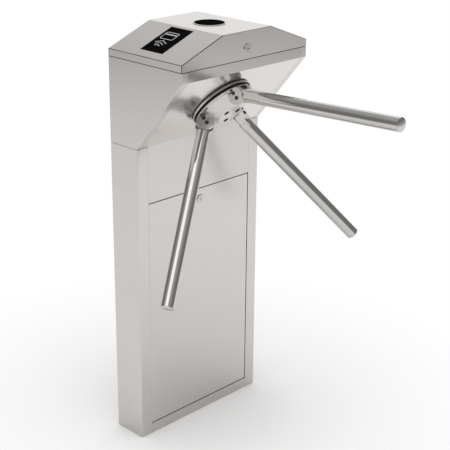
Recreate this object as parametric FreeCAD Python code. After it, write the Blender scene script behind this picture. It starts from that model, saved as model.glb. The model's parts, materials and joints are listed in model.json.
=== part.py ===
import FreeCAD, Part
import math
import os

V = FreeCAD.Vector

# Tripod turnstile. Millimetres, +Z up, origin on the floor at the centre of the anchor bolts.
# +X points into the passage, where the arms are. -Y is the front, where cards are read.

# Cabinet outline. Heights stack up: column, slope of the head, upright strip, lip and rise of the lid.
DEPTH = 388.0
COLUMN_WIDTH = 88.0
HEAD_WIDTH = 232.0
COLUMN_HEIGHT = 723.0
SLOPE_RISE = 171.0
STRIP_HEIGHT = 23.0
LIP_HEIGHT = 17.0
LID_RISE = 46.0
LID_FLAT = 148.0
SHEET = 2.0
FOLD_RADIUS = 1.5
SEAM_GAP = 1.5
COLUMN_SEAM = 1.0
PANEL_GAP = 0.3
POST_RETURN = 32.0
HEAD_RETURN = 18.0
TAB_BEHIND = 14.0
TAB_INSIDE = 12.0
FLANGE = 14.0

# Floor plate
BASE_THICKNESS = 8.0
ANCHOR_RADIUS = 6.5
ANCHOR_X = 26.0
ANCHOR_Y = 150.0
GROMMET_RADIUS = 25.0
GROMMET_WALL = 6.0
GROMMET_LIP = 3.0

# Deck between column and head
DECK_THICKNESS = 3.0
DECK_COLLAR = 18.0
DECK_CABLE_WIDTH = 40.0
DECK_CABLE_LENGTH = 160.0

# Access door
DOOR_BOTTOM = 26.0
DOOR_BELOW_COLUMN_TOP = 133.0
LOCK_SIDE_GAP = 0.6
PIVOT_RADIUS = 2.0
PIVOT_FROM_FACE = 5.0
PIVOT_FROM_EDGE = 12.0
PIVOT_REACH = 6.0

# Fits
RUNNING = 0.05
FIXED_FIT = 0.02
SLIP = 0.2

# Cam locks
LOCK_FACE_RADIUS = 11.0
LOCK_FACE_THICKNESS = 2.0
LOCK_BARREL_RADIUS = 9.0
LOCK_BARREL_LENGTH = 16.0
LOCK_NUT_RADIUS = 12.0
LOCK_NUT_THICKNESS = 6.0
LOCK_PLUG_RADIUS = 6.0
LOCK_PLUG_PROUD = 0.4
LOCK_KEYWAY_WIDTH = 1.6
LOCK_KEYWAY_LENGTH = 8.0
LOCK_KEYWAY_DEPTH = 5.0
CAM_THICKNESS = 3.0
CAM_WIDTH = 12.0
CAM_TAIL = 2.0
DOOR_CAM_REACH = 44.0
LID_CAM_REACH = 30.0
DOOR_LOCK_BELOW_TOP = 28.0
LID_LOCK_ABOVE_SEAM = 24.0
STRIKE_THICKNESS = 3.0
STRIKE_CLEARANCE = 3.0
STRIKE_WIDTH = 5.0
STRIKE_START = 12.0

# Card reader window in the front slope of the lid
WINDOW_WIDTH = 69.0
WINDOW_LENGTH = 98.0
WINDOW_UP_SLOPE = 7.0
WINDOW_PROUD = 0.4
WINDOW_RIM = 4.0
WINDOW_RIM_THICKNESS = 2.0
READER_WIDTH = 60.0
READER_LENGTH = 84.0
READER_THICKNESS = 16.0

# Indicator in the flat top of the lid
LENS_RADIUS = 34.5
LENS_PROUD = 1.2
LENS_THICKNESS = 3.0
LENS_SKIRT = 10.0
LENS_SKIRT_WALL = 3.5
BEZEL_WIDTH = 3.0
BEZEL_THICKNESS = 1.0
INDICATOR_BOARD = 2.0

# Lid hinges
HINGE_PLACE = 110.0
HINGE_HALF = 30.0
HINGE_MIDDLE = 10.0
HINGE_SIDE_GAP = 0.3
KNUCKLE_RADIUS = 3.0
HINGE_OUT = 3.5
HINGE_PIN_RADIUS = 1.5
LEAF_THICKNESS = 2.0
LEAF_HEIGHT = 24.0
LEAF_START = 4.75

# Rotor on the sloped face. Depth runs into the head, so outside is negative.
AXIS_UP_SLOPE = 108.0
OPENING_RADIUS = 36.0
COLLAR_RADIUS = 76.0
COLLAR_THICKNESS = 2.2
SEAL_RADIUS = 74.5
SEAL_BORE = 40.0
SEAL_THICKNESS = 5.4
ROTOR_GAP = 0.4
ROTOR_RADIUS = 75.0
ROTOR_THICKNESS = 2.4
ROTOR_EDGE = 1.0
HUB_BASE_RADIUS = 60.0
HUB_END_RADIUS = 30.0
HUB_HEIGHT = 22.0
HUB_CAP = 10.0
HUB_BOLT_CIRCLE = 20.0
HUB_BOLT_RADIUS = 3.0
HUB_HEAD_RADIUS = 5.0
HUB_HEAD_HEIGHT = 5.0
HUB_COUNTERBORE_RADIUS = 6.5
HUB_COUNTERBORE_DEPTH = 6.0

# Arms
ARM_COUNT = 3
ARM_ANGLE = 42.8
ARM_APEX_DEPTH = 42.0
ARM_LENGTH = 523.0
ARM_RADIUS = 15.0
ARM_WALL = 2.0
ARM_ROOT_SOLID = 30.0
TONGUE_HALF = 14.0
TONGUE_THICKNESS = 16.0
CHEEK_RADIUS = 20.5
CHEEK_SIDES = 8
CHEEK_THICKNESS = 8.8
CHEEK_RISE = 12.0
CHEEK_CLEARANCE = 0.2
CHEEK_BOLT_RADIUS = 3.0
CHEEK_BOLT_STEP = 13.0
CHEEK_HEAD_RADIUS = 4.6
CHEEK_HEAD_AIR = 0.6
CHEEK_HEAD_HEIGHT = 2.5
CAP_THICKNESS = 4.0
CAP_SPIGOT = 12.0
CAP_EDGE = 1.5

# Shaft line, by depth behind the sloped face
SHAFT_RADIUS = 15.0
SHAFT_FLANGE_RADIUS = 32.0
SHAFT_END = 104.0
CHASSIS_DEPTH = 34.0
CHASSIS_THICKNESS = 8.0
CHASSIS_HALF_LENGTH = 70.0
CHASSIS_HALF_WIDTH = 125.0
STANDOFF_RADIUS = 7.0
STANDOFF_ALONG = 58.0
STANDOFF_ACROSS = 108.0
HOUSING_RADIUS = 32.0
HOUSING_START = 10.0
HOUSING_END = 66.0
HOUSING_FLANGE_RADIUS = 46.0
HOUSING_FLANGE_THICKNESS = 6.0
BEARING_RADIUS = 26.0
BEARING_WIDTH = 15.0
BEARING_INSET = 2.0
GEAR_DEPTH = 70.0
GEAR_WIDTH = 8.0
GEAR_MODULE = 2.0
GEAR_TEETH = 45
PINION_TEETH = 15
GEAR_SLACK = 0.3
TOOTH_ROOT_MODULES = 1.15
TOOTH_TIP_MODULES = 0.75
TOOTH_ROOT_SHARE = 0.34
TOOTH_PITCH_SHARE = 0.20
TOOTH_TIP_SHARE = 0.10
PINION_DIRECTION = -120.0
PINION_OVERLAP = 1.0
DAMPER_RADIUS = 21.0
DAMPER_LENGTH = 24.0
DAMPER_SHAFT_RADIUS = 5.0
DAMPER_SEAT = 12.0
INDEX_DEPTH = 82.0
INDEX_WIDTH = 8.0
INDEX_RADIUS = 58.0
INDEX_NOTCHES = 6
NOTCH_WIDTH = 18.0
NOTCH_DEPTH = 8.0
ENCODER_DEPTH = 94.0
ENCODER_THICKNESS = 2.0
ENCODER_RADIUS = 40.0
ENCODER_SLOTS = 24
ENCODER_SLOT_RADIUS = 2.0
ENCODER_SLOT_INSET = 5.0
NUT_DEPTH = 97.0
NUT_RADIUS = 22.0

# Locking pawls, drawn released
PAWL_PIVOT_ALONG = -45.0
PAWL_PIVOT_ACROSS = 74.0
PAWL_PIN_RADIUS = 4.0
PAWL_BOSS_RADIUS = 9.0
PAWL_THICKNESS = 6.0
PAWL_HALF_WIDTH = 6.0
PAWL_NOSE_HALF = 4.0
PAWL_NOSE_CLEARANCE = 2.5
PAWL_NOSE_OVERRUN = 6.0
PLUNGER_ALONG = -15.0
PLUNGER_RADIUS = 5.0
PLUNGER_TIP_RADIUS = 3.0
PLUNGER_TIP = 6.0
PLUNGER_GAP = 0.9
PLUNGER_LENGTH = 26.0
SOLENOID_GAP = 8.0
SOLENOID_WIDTH = 28.0
SOLENOID_LENGTH = 34.0
SOLENOID_HEIGHT = 24.0
BRACKET_WIDTH = 20.0

# Position sensor over the encoder disc
SENSOR_HALF_WIDTH = 6.0
SENSOR_POST_GAP = 4.0
SENSOR_POST = 6.0
SENSOR_REACH = 6.0
SENSOR_SLOT = 4.0
SENSOR_WALL = 2.0

# Electronics on the back wall of the column
BOARD_BELOW_COLUMN_TOP = 93.0
BOARD_HEIGHT = 160.0
BOARD_HALF_WIDTH = 70.0
BOARD_THICKNESS = 1.6
BOARD_STUD = 8.0
BOARD_STUD_RADIUS = 3.0
BOARD_MARGIN = 8.0
CHIP_HEIGHT = 6.0
# Parts on the board: place across it, place above its lower edge, width and height
CHIPS = ((-35.0, 88.0, 28.0, 32.0), (31.5, 96.0, 21.0, 48.0),
         (0.0, 32.0, 105.0, 13.0), (0.0, 138.0, 84.0, 13.0))
SUPPLY_BELOW_BOARD = 40.0
SUPPLY_HEIGHT = 140.0
SUPPLY_HALF_WIDTH = 55.0
SUPPLY_DEPTH = 36.0
SUPPLY_SLOTS = 7
SUPPLY_SLOT_WIDTH = 3.0
SUPPLY_SLOT_DEPTH = 2.0
TERMINAL_BELOW_SUPPLY = 76.0
TERMINAL_HEIGHT = 24.0
TERMINAL_HALF_WIDTH = 54.0
TERMINAL_DEPTH = 20.0
TERMINAL_WAYS = 9

# Places worked out from the sizes above
X_BACK = -COLUMN_WIDTH / 2
X_FACE = COLUMN_WIDTH / 2
X_HEAD = X_BACK + HEAD_WIDTH
X_CENTRE = (X_BACK + X_HEAD) / 2
Y_REAR = DEPTH / 2
STRIP_BOTTOM = COLUMN_HEIGHT + SLOPE_RISE
SEAM_HEIGHT = STRIP_BOTTOM + STRIP_HEIGHT
LIP_TOP = SEAM_HEIGHT + LIP_HEIGHT
HEIGHT = LIP_TOP + LID_RISE
DOOR_TOP = COLUMN_HEIGHT - DOOR_BELOW_COLUMN_TOP
BOARD_BOTTOM = COLUMN_HEIGHT - BOARD_BELOW_COLUMN_TOP - BOARD_HEIGHT
SUPPLY_BOTTOM = BOARD_BOTTOM - SUPPLY_BELOW_BOARD - SUPPLY_HEIGHT
TERMINAL_BOTTOM = SUPPLY_BOTTOM - TERMINAL_BELOW_SUPPLY - TERMINAL_HEIGHT
SLOPE = math.hypot(X_HEAD - X_FACE, SLOPE_RISE)
UP_X = (X_HEAD - X_FACE) / SLOPE
UP_Z = SLOPE_RISE / SLOPE
AXIS_X = X_FACE + UP_X * AXIS_UP_SLOPE
AXIS_Z = COLUMN_HEIGHT + UP_Z * AXIS_UP_SLOPE
LID_BOTTOM = SEAM_HEIGHT + SEAM_GAP
LID_TILT = math.atan2(LID_RISE, (DEPTH - LID_FLAT) / 2)
LID_LOCK_HEIGHT = SEAM_HEIGHT + LID_LOCK_ABOVE_SEAM
Y_DOOR = Y_REAR - POST_RETURN
ROTOR_BACK = -(COLLAR_THICKNESS + SEAL_THICKNESS + ROTOR_GAP)
ROTOR_FACE = ROTOR_BACK - ROTOR_THICKNESS
HUB_END = ROTOR_FACE - HUB_HEIGHT
CHEEK_DEPTH = ROTOR_FACE - CHEEK_RISE
CHASSIS_INNER = CHASSIS_DEPTH + CHASSIS_THICKNESS
CHEEK_ALONG = (ARM_APEX_DEPTH - CHEEK_DEPTH) / math.cos(math.radians(ARM_ANGLE))
CHEEK_REACH = (ARM_APEX_DEPTH - CHEEK_DEPTH) * math.tan(math.radians(ARM_ANGLE))
CHEEK_INNER = TONGUE_THICKNESS / 2 + CHEEK_CLEARANCE
CHEEK_OUTER = CHEEK_INNER + CHEEK_THICKNESS
TUBE_START = CHEEK_ALONG + CHEEK_RADIUS
TUBE_END = ARM_LENGTH - CAP_THICKNESS
PINION_CENTRES = GEAR_MODULE * (GEAR_TEETH + PINION_TEETH) / 2 + GEAR_SLACK
PAWL_DEPTH = INDEX_DEPTH + (INDEX_WIDTH - PAWL_THICKNESS) / 2
PLUNGER_DEPTH = INDEX_DEPTH + INDEX_WIDTH / 2
PIVOT_X = X_FACE - PIVOT_FROM_FACE
PIVOT_Y = Y_DOOR - SEAM_GAP - PIVOT_FROM_EDGE
DOOR_LOCK_HEIGHT = DOOR_TOP - DOOR_LOCK_BELOW_TOP
HINGE_X = X_BACK - HINGE_OUT
HINGE_Z = SEAM_HEIGHT + SEAM_GAP / 2

# Depth, up-slope and across make the frame of everything on the shaft line.
SHAFT_FRAME = FreeCAD.Placement(FreeCAD.Matrix(
    UP_X, 0, -UP_Z, AXIS_X,
    0, 1, 0, 0,
    UP_Z, 0, UP_X, AXIS_Z,
    0, 0, 0, 1))

# The front slope of the lid: across the head, up the slope, and out of the sheet.
WINDOW_Y = -(DEPTH + LID_FLAT) / 4 + WINDOW_UP_SLOPE
WINDOW_Z = LIP_TOP + (WINDOW_Y + Y_REAR) * math.tan(LID_TILT)
WINDOW_FRAME = FreeCAD.Placement(
    V(X_CENTRE, WINDOW_Y, WINDOW_Z),
    FreeCAD.Rotation(V(1, 0, 0), math.degrees(LID_TILT)))


def block(x0, x1, y0, y1, z0, z1):
    return Part.makeBox(x1 - x0, y1 - y0, z1 - z0, V(x0, y0, z0))


def rod(radius, start, end):
    return Part.makeCylinder(radius, (end - start).Length, start, end - start)


def disc(radius, low, high, along=0.0, across=0.0):
    return Part.makeCylinder(radius, high - low, V(along, across, low))


def ring(outer, inner, low, high):
    return disc(outer, low, high).cut(disc(inner, low, high))


def prism(points, travel):
    corners = [V(*point) for point in points]
    return Part.Face(Part.makePolygon(corners + corners[:1])).extrude(travel)


def hexagon(radius, low, high):
    corners = [(radius * math.cos(k * math.pi / 3), radius * math.sin(k * math.pi / 3), low)
               for k in range(6)]
    return prism(corners, V(0, 0, high - low))


def join(first, *others):
    return first.fuse(list(others)).removeSplitter()


def turned(shape, degrees):
    copy = shape.copy()
    copy.rotate(V(0, 0, 0), V(0, 0, 1), degrees)
    return copy


def seated(shape, frame):
    copy = shape.copy()
    copy.Placement = frame.multiply(copy.Placement)
    return copy


def folded(shape, wanted):
    # Rounds the outside of the sheet where it is folded.
    return shape.makeFillet(FOLD_RADIUS, [edge for edge in shape.Edges if wanted(edge.BoundBox)])


def at(value, place):
    return abs(value - place) < SHEET / 2


def around_axis(shape):
    return [turned(shape, 360.0 / ARM_COUNT * k) for k in range(ARM_COUNT)]


def mirrored(shape):
    return shape.mirror(V(0, 0, 0), V(0, 1, 0))


# Column

def column_post(side):
    low, high = sorted((side * Y_REAR, side * (Y_REAR - POST_RETURN)))
    top = COLUMN_HEIGHT - COLUMN_SEAM
    inner_low, inner_high = sorted((side * (Y_REAR - SHEET), side * (Y_REAR - 2 * POST_RETURN)))
    outer = folded(block(X_BACK, X_FACE, low, high, 0, top),
                   lambda box: box.ZLength > top / 2 and at(box.YMin, side * Y_REAR))
    return outer.cut(block(X_BACK + SHEET, X_FACE - SHEET, inner_low, inner_high, 0, top))


def side_tabs(x_low, z_low, z_high):
    tabs = []
    for side in (-1, 1):
        y_low, y_high = sorted((side * (Y_DOOR - TAB_INSIDE), side * (Y_DOOR + TAB_BEHIND)))
        tabs.append(block(x_low, x_low + SHEET, y_low, y_high, z_low, z_high))
    return tabs


def column_back_panel():
    half = Y_DOOR - PANEL_GAP
    plate = block(X_BACK, X_BACK + SHEET, -half, half, 0, COLUMN_HEIGHT - COLUMN_SEAM)
    tabs = side_tabs(X_BACK + SHEET, BASE_THICKNESS, COLUMN_HEIGHT - 2 * DECK_COLLAR)
    return join(plate, *tabs, *board_studs())


def pivot_hole():
    return rod(PIVOT_RADIUS + RUNNING, V(PIVOT_X, PIVOT_Y, 0), V(PIVOT_X, PIVOT_Y, HEIGHT))


def column_upper_panel():
    half = Y_DOOR - PANEL_GAP
    plate = block(X_FACE - SHEET, X_FACE, -half, half, DOOR_TOP, COLUMN_HEIGHT)
    flange = block(X_FACE - SHEET - FLANGE, X_FACE, -half, half, DOOR_TOP, DOOR_TOP + SHEET)
    tabs = side_tabs(X_FACE - 2 * SHEET, DOOR_TOP, COLUMN_HEIGHT - 2 * DECK_COLLAR)
    return join(plate, flange, *tabs).cut(pivot_hole())


def plinth_panel():
    half = Y_DOOR - PANEL_GAP
    plate = block(X_FACE - SHEET, X_FACE, -half, half, 0, DOOR_BOTTOM)
    flange = block(X_FACE - SHEET - FLANGE, X_FACE, -half, half, DOOR_BOTTOM - SHEET, DOOR_BOTTOM)
    tabs = side_tabs(X_FACE - 2 * SHEET, BASE_THICKNESS, DOOR_BOTTOM)
    return join(plate, flange, *tabs).cut(pivot_hole())


def base_plate():
    half_x = COLUMN_WIDTH / 2 - SHEET
    half_y = DEPTH / 2 - SHEET
    plate = block(-half_x, half_x, -half_y, half_y, 0, BASE_THICKNESS)
    holes = [disc(ANCHOR_RADIUS, 0, BASE_THICKNESS, x, y)
             for x in (-ANCHOR_X, ANCHOR_X) for y in (-ANCHOR_Y, ANCHOR_Y)]
    return plate.cut(holes + [disc(GROMMET_RADIUS, 0, BASE_THICKNESS)])


def cable_grommet():
    sleeve = ring(GROMMET_RADIUS, GROMMET_RADIUS - GROMMET_WALL, 0, BASE_THICKNESS)
    lip = ring(GROMMET_RADIUS + GROMMET_LIP, GROMMET_RADIUS - GROMMET_WALL,
               BASE_THICKNESS, BASE_THICKNESS + GROMMET_LIP)
    return join(sleeve, lip)


# Head

def head_section(inset, bottom, top, y_low, y_high):
    slant_top = (X_HEAD - inset - X_FACE + UP_Z * inset) / UP_X
    slant_bottom = (bottom - COLUMN_HEIGHT - UP_X * inset) / UP_Z
    corner_x = X_FACE + UP_X * slant_bottom - UP_Z * inset
    corner_z = COLUMN_HEIGHT + UP_Z * slant_top + UP_X * inset
    points = [(X_BACK + inset, y_low, bottom), (corner_x, y_low, bottom),
              (X_HEAD - inset, y_low, corner_z), (X_HEAD - inset, y_low, top),
              (X_BACK + inset, y_low, top)]
    return prism(points, V(0, y_high - y_low, 0))


def brow_fold(box):
    return at(box.XMin, X_HEAD) and at(box.ZMin, STRIP_BOTTOM) and at(box.ZMax, STRIP_BOTTOM)


def head_hollow(inset, y_low, y_high):
    return head_section(inset, COLUMN_HEIGHT - SHEET, SEAM_HEIGHT + SHEET, y_low, y_high)


def head_skin(y_low, y_high):
    outer = folded(head_section(0, COLUMN_HEIGHT, SEAM_HEIGHT, y_low, y_high), brow_fold)
    return outer.cut(head_hollow(SHEET, y_low, y_high))


def head_tab(y_low, y_high):
    outer = head_section(SHEET, COLUMN_HEIGHT, SEAM_HEIGHT, y_low, y_high)
    return outer.cut(head_hollow(2 * SHEET, y_low, y_high))


def head_end_panel(side):
    low, high = sorted((side * Y_REAR, side * (Y_REAR - HEAD_RETURN)))
    inner_low, inner_high = sorted((side * (Y_REAR - SHEET), side * (Y_REAR - 2 * HEAD_RETURN)))

    def outer_fold(box):
        level = at(box.ZMin, box.ZMax)
        return brow_fold(box) or (at(box.YMin, side * Y_REAR) and at(box.YMax, side * Y_REAR) and not level)

    outer = folded(head_section(0, COLUMN_HEIGHT, SEAM_HEIGHT, low, high), outer_fold)
    return outer.cut(head_hollow(SHEET, inner_low, inner_high))


def head_wrap(passage_side):
    middle = X_BACK + HEAD_RETURN
    x_low, x_high = (middle, X_HEAD) if passage_side else (X_BACK, middle)
    keep = block(x_low, x_high, -DEPTH, DEPTH, 0, HEIGHT)
    half = Y_REAR - HEAD_RETURN - PANEL_GAP
    skin = head_skin(-half, half).common(keep)
    tabs = []
    for side in (-1, 1):
        low, high = sorted((side * (half - TAB_INSIDE), side * (Y_REAR - SHEET - PANEL_GAP)))
        tabs.append(head_tab(low, high).common(keep))
    return join(skin, *tabs)


def strike_foot():
    return X_HEAD - SHEET - FLANGE


def head_slope_panel():
    half = Y_REAR - HEAD_RETURN - PANEL_GAP
    flange = block(strike_foot(), X_HEAD, -half, half, SEAM_HEIGHT - SHEET, SEAM_HEIGHT)
    opening = seated(disc(OPENING_RADIUS, -SHEET, 3 * SHEET), SHAFT_FRAME)
    deck_room = block(X_BACK, X_FACE, -DEPTH, DEPTH, 0, COLUMN_HEIGHT + DECK_COLLAR)
    return join(head_wrap(True), flange).cut([opening, deck_room])


def head_back_panel():
    tab_room = block(X_BACK + SHEET, X_FACE, -DEPTH, DEPTH, 0, COLUMN_HEIGHT + DECK_COLLAR)
    return head_wrap(False).cut(tab_room)


def head_deck():
    half_x = COLUMN_WIDTH / 2 - SHEET
    half_y = DEPTH / 2 - SHEET
    low = COLUMN_HEIGHT - DECK_COLLAR
    high = COLUMN_HEIGHT + DECK_COLLAR
    collar = block(-half_x, half_x, -half_y, half_y, low, high)
    wall = DECK_THICKNESS
    hollow = block(wall - half_x, half_x - wall, wall - half_y, half_y - wall, low, high)
    floor = block(-half_x, half_x, -half_y, half_y, COLUMN_HEIGHT - wall, COLUMN_HEIGHT)
    passage = block(-DECK_CABLE_WIDTH / 2, DECK_CABLE_WIDTH / 2,
                    -DECK_CABLE_LENGTH / 2, DECK_CABLE_LENGTH / 2, low, high)
    return join(collar.cut(hollow), floor).cut([passage, head_skin(-half_y, half_y)])


def strike_bracket():
    x_low = strike_foot()
    lid_cam_face = lid_cam_inner()
    ledge_low = LID_LOCK_HEIGHT + CAM_WIDTH / 2 + STRIKE_CLEARANCE
    ledge_high = ledge_low + STRIKE_THICKNESS
    y_post = LID_CAM_REACH + STRIKE_CLEARANCE
    ledge = block(lid_cam_face - STRIKE_CLEARANCE, x_low + STRIKE_WIDTH,
                  STRIKE_START, y_post + STRIKE_THICKNESS, ledge_low, ledge_high)
    post = block(x_low, x_low + STRIKE_WIDTH, y_post, y_post + STRIKE_THICKNESS, SEAM_HEIGHT, ledge_high)
    foot = block(x_low, x_low + STRIKE_WIDTH, y_post, y_post + 2 * CAM_WIDTH,
                 SEAM_HEIGHT, SEAM_HEIGHT + STRIKE_THICKNESS)
    return join(ledge, post, foot)


# Lid

def lid_section(inset, x_low, x_high, bottom):
    rise = math.tan(LID_TILT)
    drop = inset / math.cos(LID_TILT)
    lip_y = Y_REAR - inset
    lip_z = LIP_TOP + inset * rise - drop
    top_z = HEIGHT - inset
    top_y = Y_REAR - (top_z - LIP_TOP + drop) / rise
    points = [(x_low, -lip_y, bottom), (x_low, -lip_y, lip_z), (x_low, -top_y, top_z),
              (x_low, top_y, top_z), (x_low, lip_y, lip_z), (x_low, lip_y, bottom)]
    return prism(points, V(x_high - x_low, 0, 0))


def window_block(half_width, half_length, low, high):
    return seated(block(-half_width, half_width, -half_length, half_length, low, high), WINDOW_FRAME)


def lid_shell():
    outer = folded(lid_section(0, X_BACK, X_HEAD, LID_BOTTOM),
                   lambda box: not at(box.ZMax, LID_BOTTOM))
    hollow = lid_section(SHEET, X_BACK + SHEET, X_HEAD - SHEET, LID_BOTTOM - SHEET)
    window = window_block(WINDOW_WIDTH / 2, WINDOW_LENGTH / 2, -2 * SHEET, SHEET)
    lens = disc(LENS_RADIUS, HEIGHT - 2 * SHEET, HEIGHT + SHEET, X_CENTRE)
    lock = rod(LOCK_BARREL_RADIUS + FIXED_FIT, V(X_HEAD - 2 * SHEET, 0, LID_LOCK_HEIGHT),
               V(X_HEAD + SHEET, 0, LID_LOCK_HEIGHT))
    return outer.cut([hollow, window, lens, lock])


def reader_window():
    half_width = WINDOW_WIDTH / 2
    half_length = WINDOW_LENGTH / 2
    pane = window_block(half_width - SLIP, half_length - SLIP, -SHEET, WINDOW_PROUD)
    rim = window_block(half_width + WINDOW_RIM, half_length + WINDOW_RIM,
                       -SHEET - WINDOW_RIM_THICKNESS, -SHEET)
    return join(pane, rim)


def reader_module():
    top = -SHEET - WINDOW_RIM_THICKNESS
    return window_block(READER_WIDTH / 2, READER_LENGTH / 2, top - READER_THICKNESS, top)


def on_lid_top(shape):
    return seated(shape, FreeCAD.Placement(V(X_CENTRE, 0, HEIGHT), FreeCAD.Rotation()))


def indicator_lens():
    radius = LENS_RADIUS - SLIP
    pane = disc(radius, LENS_PROUD - LENS_THICKNESS, LENS_PROUD)
    crown = pane.makeFillet(LENS_PROUD / 2, [edge for edge in pane.Edges
                                             if edge.BoundBox.ZMin > LENS_PROUD / 2])
    skirt = ring(radius, radius - LENS_SKIRT_WALL, -LENS_SKIRT, LENS_PROUD - LENS_THICKNESS)
    return on_lid_top(join(crown, skirt))


def indicator_bezel():
    return on_lid_top(ring(LENS_RADIUS + BEZEL_WIDTH, LENS_RADIUS, 0, BEZEL_THICKNESS))


def indicator_board():
    radius = LENS_RADIUS - SLIP - LENS_SKIRT_WALL - FIXED_FIT
    return on_lid_top(disc(radius, -LENS_SKIRT, INDICATOR_BOARD - LENS_SKIRT))


# Lid hinges

def hinge_groups(moving):
    leaves = []
    for place in (-HINGE_PLACE, HINGE_PLACE):
        middle = [(place - HINGE_MIDDLE + HINGE_SIDE_GAP, place + HINGE_MIDDLE - HINGE_SIDE_GAP)]
        ends = [(place - HINGE_HALF, place - HINGE_MIDDLE), (place + HINGE_MIDDLE, place + HINGE_HALF)]
        up = 1 if moving else -1
        z_low, z_high = sorted((HINGE_Z + up * LEAF_START, HINGE_Z + up * (LEAF_START + LEAF_HEIGHT)))
        x_low = X_BACK - LEAF_THICKNESS
        leaf = block(x_low, X_BACK, place - HINGE_HALF, place + HINGE_HALF, z_low, z_high)
        fit = RUNNING if moving else FIXED_FIT
        for y_low, y_high in (middle if moving else ends):
            z_low, z_high = sorted((HINGE_Z + up * SEAM_GAP / 2, HINGE_Z + up * LEAF_START))
            neck = block(x_low, X_BACK, y_low, y_high, z_low, z_high)
            start = V(HINGE_X, y_low, HINGE_Z)
            end = V(HINGE_X, y_high, HINGE_Z)
            leaf = join(leaf, neck, rod(KNUCKLE_RADIUS, start, end))
        bore = rod(HINGE_PIN_RADIUS + fit, V(HINGE_X, place - HINGE_HALF, HINGE_Z),
                   V(HINGE_X, place + HINGE_HALF, HINGE_Z))
        leaves.append(leaf.cut(bore))
    return Part.makeCompound(leaves)


def hinge_pins():
    return Part.makeCompound([
        rod(HINGE_PIN_RADIUS, V(HINGE_X, place - HINGE_HALF, HINGE_Z),
            V(HINGE_X, place + HINGE_HALF, HINGE_Z))
        for place in (-HINGE_PLACE, HINGE_PLACE)])


# Cam locks, drawn along +Z with the outer face at zero and the cam along +X when released

def lock_housing():
    face = disc(LOCK_FACE_RADIUS, 0, LOCK_FACE_THICKNESS)
    face = face.makeFillet(LOCK_FACE_THICKNESS / 2, [edge for edge in face.Edges
                                                     if edge.BoundBox.ZMin > LOCK_FACE_THICKNESS / 2])
    barrel = disc(LOCK_BARREL_RADIUS, -LOCK_BARREL_LENGTH, 0)
    nut = hexagon(LOCK_NUT_RADIUS, -SHEET - LOCK_NUT_THICKNESS, -SHEET)
    bore = disc(LOCK_PLUG_RADIUS + RUNNING, -LOCK_BARREL_LENGTH, LOCK_FACE_THICKNESS)
    return join(face, barrel, nut).cut(bore)


def lock_plug():
    top = LOCK_FACE_THICKNESS + LOCK_PLUG_PROUD
    plug = disc(LOCK_PLUG_RADIUS, -LOCK_BARREL_LENGTH - SLIP, top)
    keyway = block(-LOCK_KEYWAY_WIDTH / 2, LOCK_KEYWAY_WIDTH / 2, -LOCK_KEYWAY_LENGTH / 2,
                   LOCK_KEYWAY_LENGTH / 2, top - LOCK_KEYWAY_DEPTH, top)
    return plug.cut(keyway)


def lock_cam(reach):
    high = -LOCK_BARREL_LENGTH - SLIP
    low = high - CAM_THICKNESS
    half = CAM_WIDTH / 2
    arm = block(0, reach - half, -half, half, low, high)
    return join(arm, disc(half + CAM_TAIL, low, high), disc(half, low, high, reach - half))


# Lock frames: local +Z out of the sheet along +X, the released cam along the second direction
LID_LOCK_FRAME = FreeCAD.Placement(FreeCAD.Matrix(
    0, 0, 1, X_HEAD,
    0, 1, 0, 0,
    -1, 0, 0, LID_LOCK_HEIGHT,
    0, 0, 0, 1))
DOOR_LOCK_FRAME = FreeCAD.Placement(FreeCAD.Matrix(
    0, 0, 1, X_FACE,
    1, 0, 0, 0,
    0, 1, 0, DOOR_LOCK_HEIGHT,
    0, 0, 0, 1))


def lid_cam_inner():
    return X_HEAD - LOCK_BARREL_LENGTH - SLIP - CAM_THICKNESS


# Door

def access_door():
    front = LOCK_SIDE_GAP - Y_DOOR
    rear = Y_DOOR - SEAM_GAP
    low = DOOR_BOTTOM + SEAM_GAP
    high = DOOR_TOP - SEAM_GAP
    tray = folded(block(X_FACE - SHEET - FLANGE, X_FACE, front, rear, low, high),
                  lambda box: at(box.XMin, X_FACE))
    inside = block(X_FACE - SHEET - FLANGE, X_FACE - SHEET, front + SHEET, rear - SHEET,
                   low + SHEET, high - SHEET)
    lock = rod(LOCK_BARREL_RADIUS + FIXED_FIT, V(X_FACE - SHEET, 0, DOOR_LOCK_HEIGHT),
               V(X_FACE, 0, DOOR_LOCK_HEIGHT))
    pins = rod(PIVOT_RADIUS + FIXED_FIT, V(PIVOT_X, PIVOT_Y, 0), V(PIVOT_X, PIVOT_Y, HEIGHT))
    return tray.cut([inside, lock, pins])


def door_pivot_pins():
    pins = []
    for edge, inward in ((DOOR_BOTTOM, 1), (DOOR_TOP, -1)):
        start = V(PIVOT_X, PIVOT_Y, edge - inward * PIVOT_REACH)
        end = V(PIVOT_X, PIVOT_Y, edge + inward * (SEAM_GAP + SHEET + PIVOT_REACH))
        pins.append(rod(PIVOT_RADIUS, start, end))
    return Part.makeCompound(pins)


# Rotor, in the shaft frame

def collar_ring():
    body = ring(COLLAR_RADIUS, OPENING_RADIUS, -COLLAR_THICKNESS, 0)
    return body.makeFillet(ROTOR_EDGE, [edge for edge in body.Edges if outer_rim(edge, COLLAR_RADIUS)
                                        and edge.BoundBox.ZMax < -COLLAR_THICKNESS / 2])


def outer_rim(edge, radius):
    return edge.Closed and abs(edge.BoundBox.XMax - radius) < ROTOR_EDGE / 2


def seal_ring():
    return ring(SEAL_RADIUS, SEAL_BORE, -COLLAR_THICKNESS - SEAL_THICKNESS, -COLLAR_THICKNESS)


def hub_bolt_holes(radius, low, high):
    return around_axis(disc(radius, low, high, -HUB_BOLT_CIRCLE))


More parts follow.
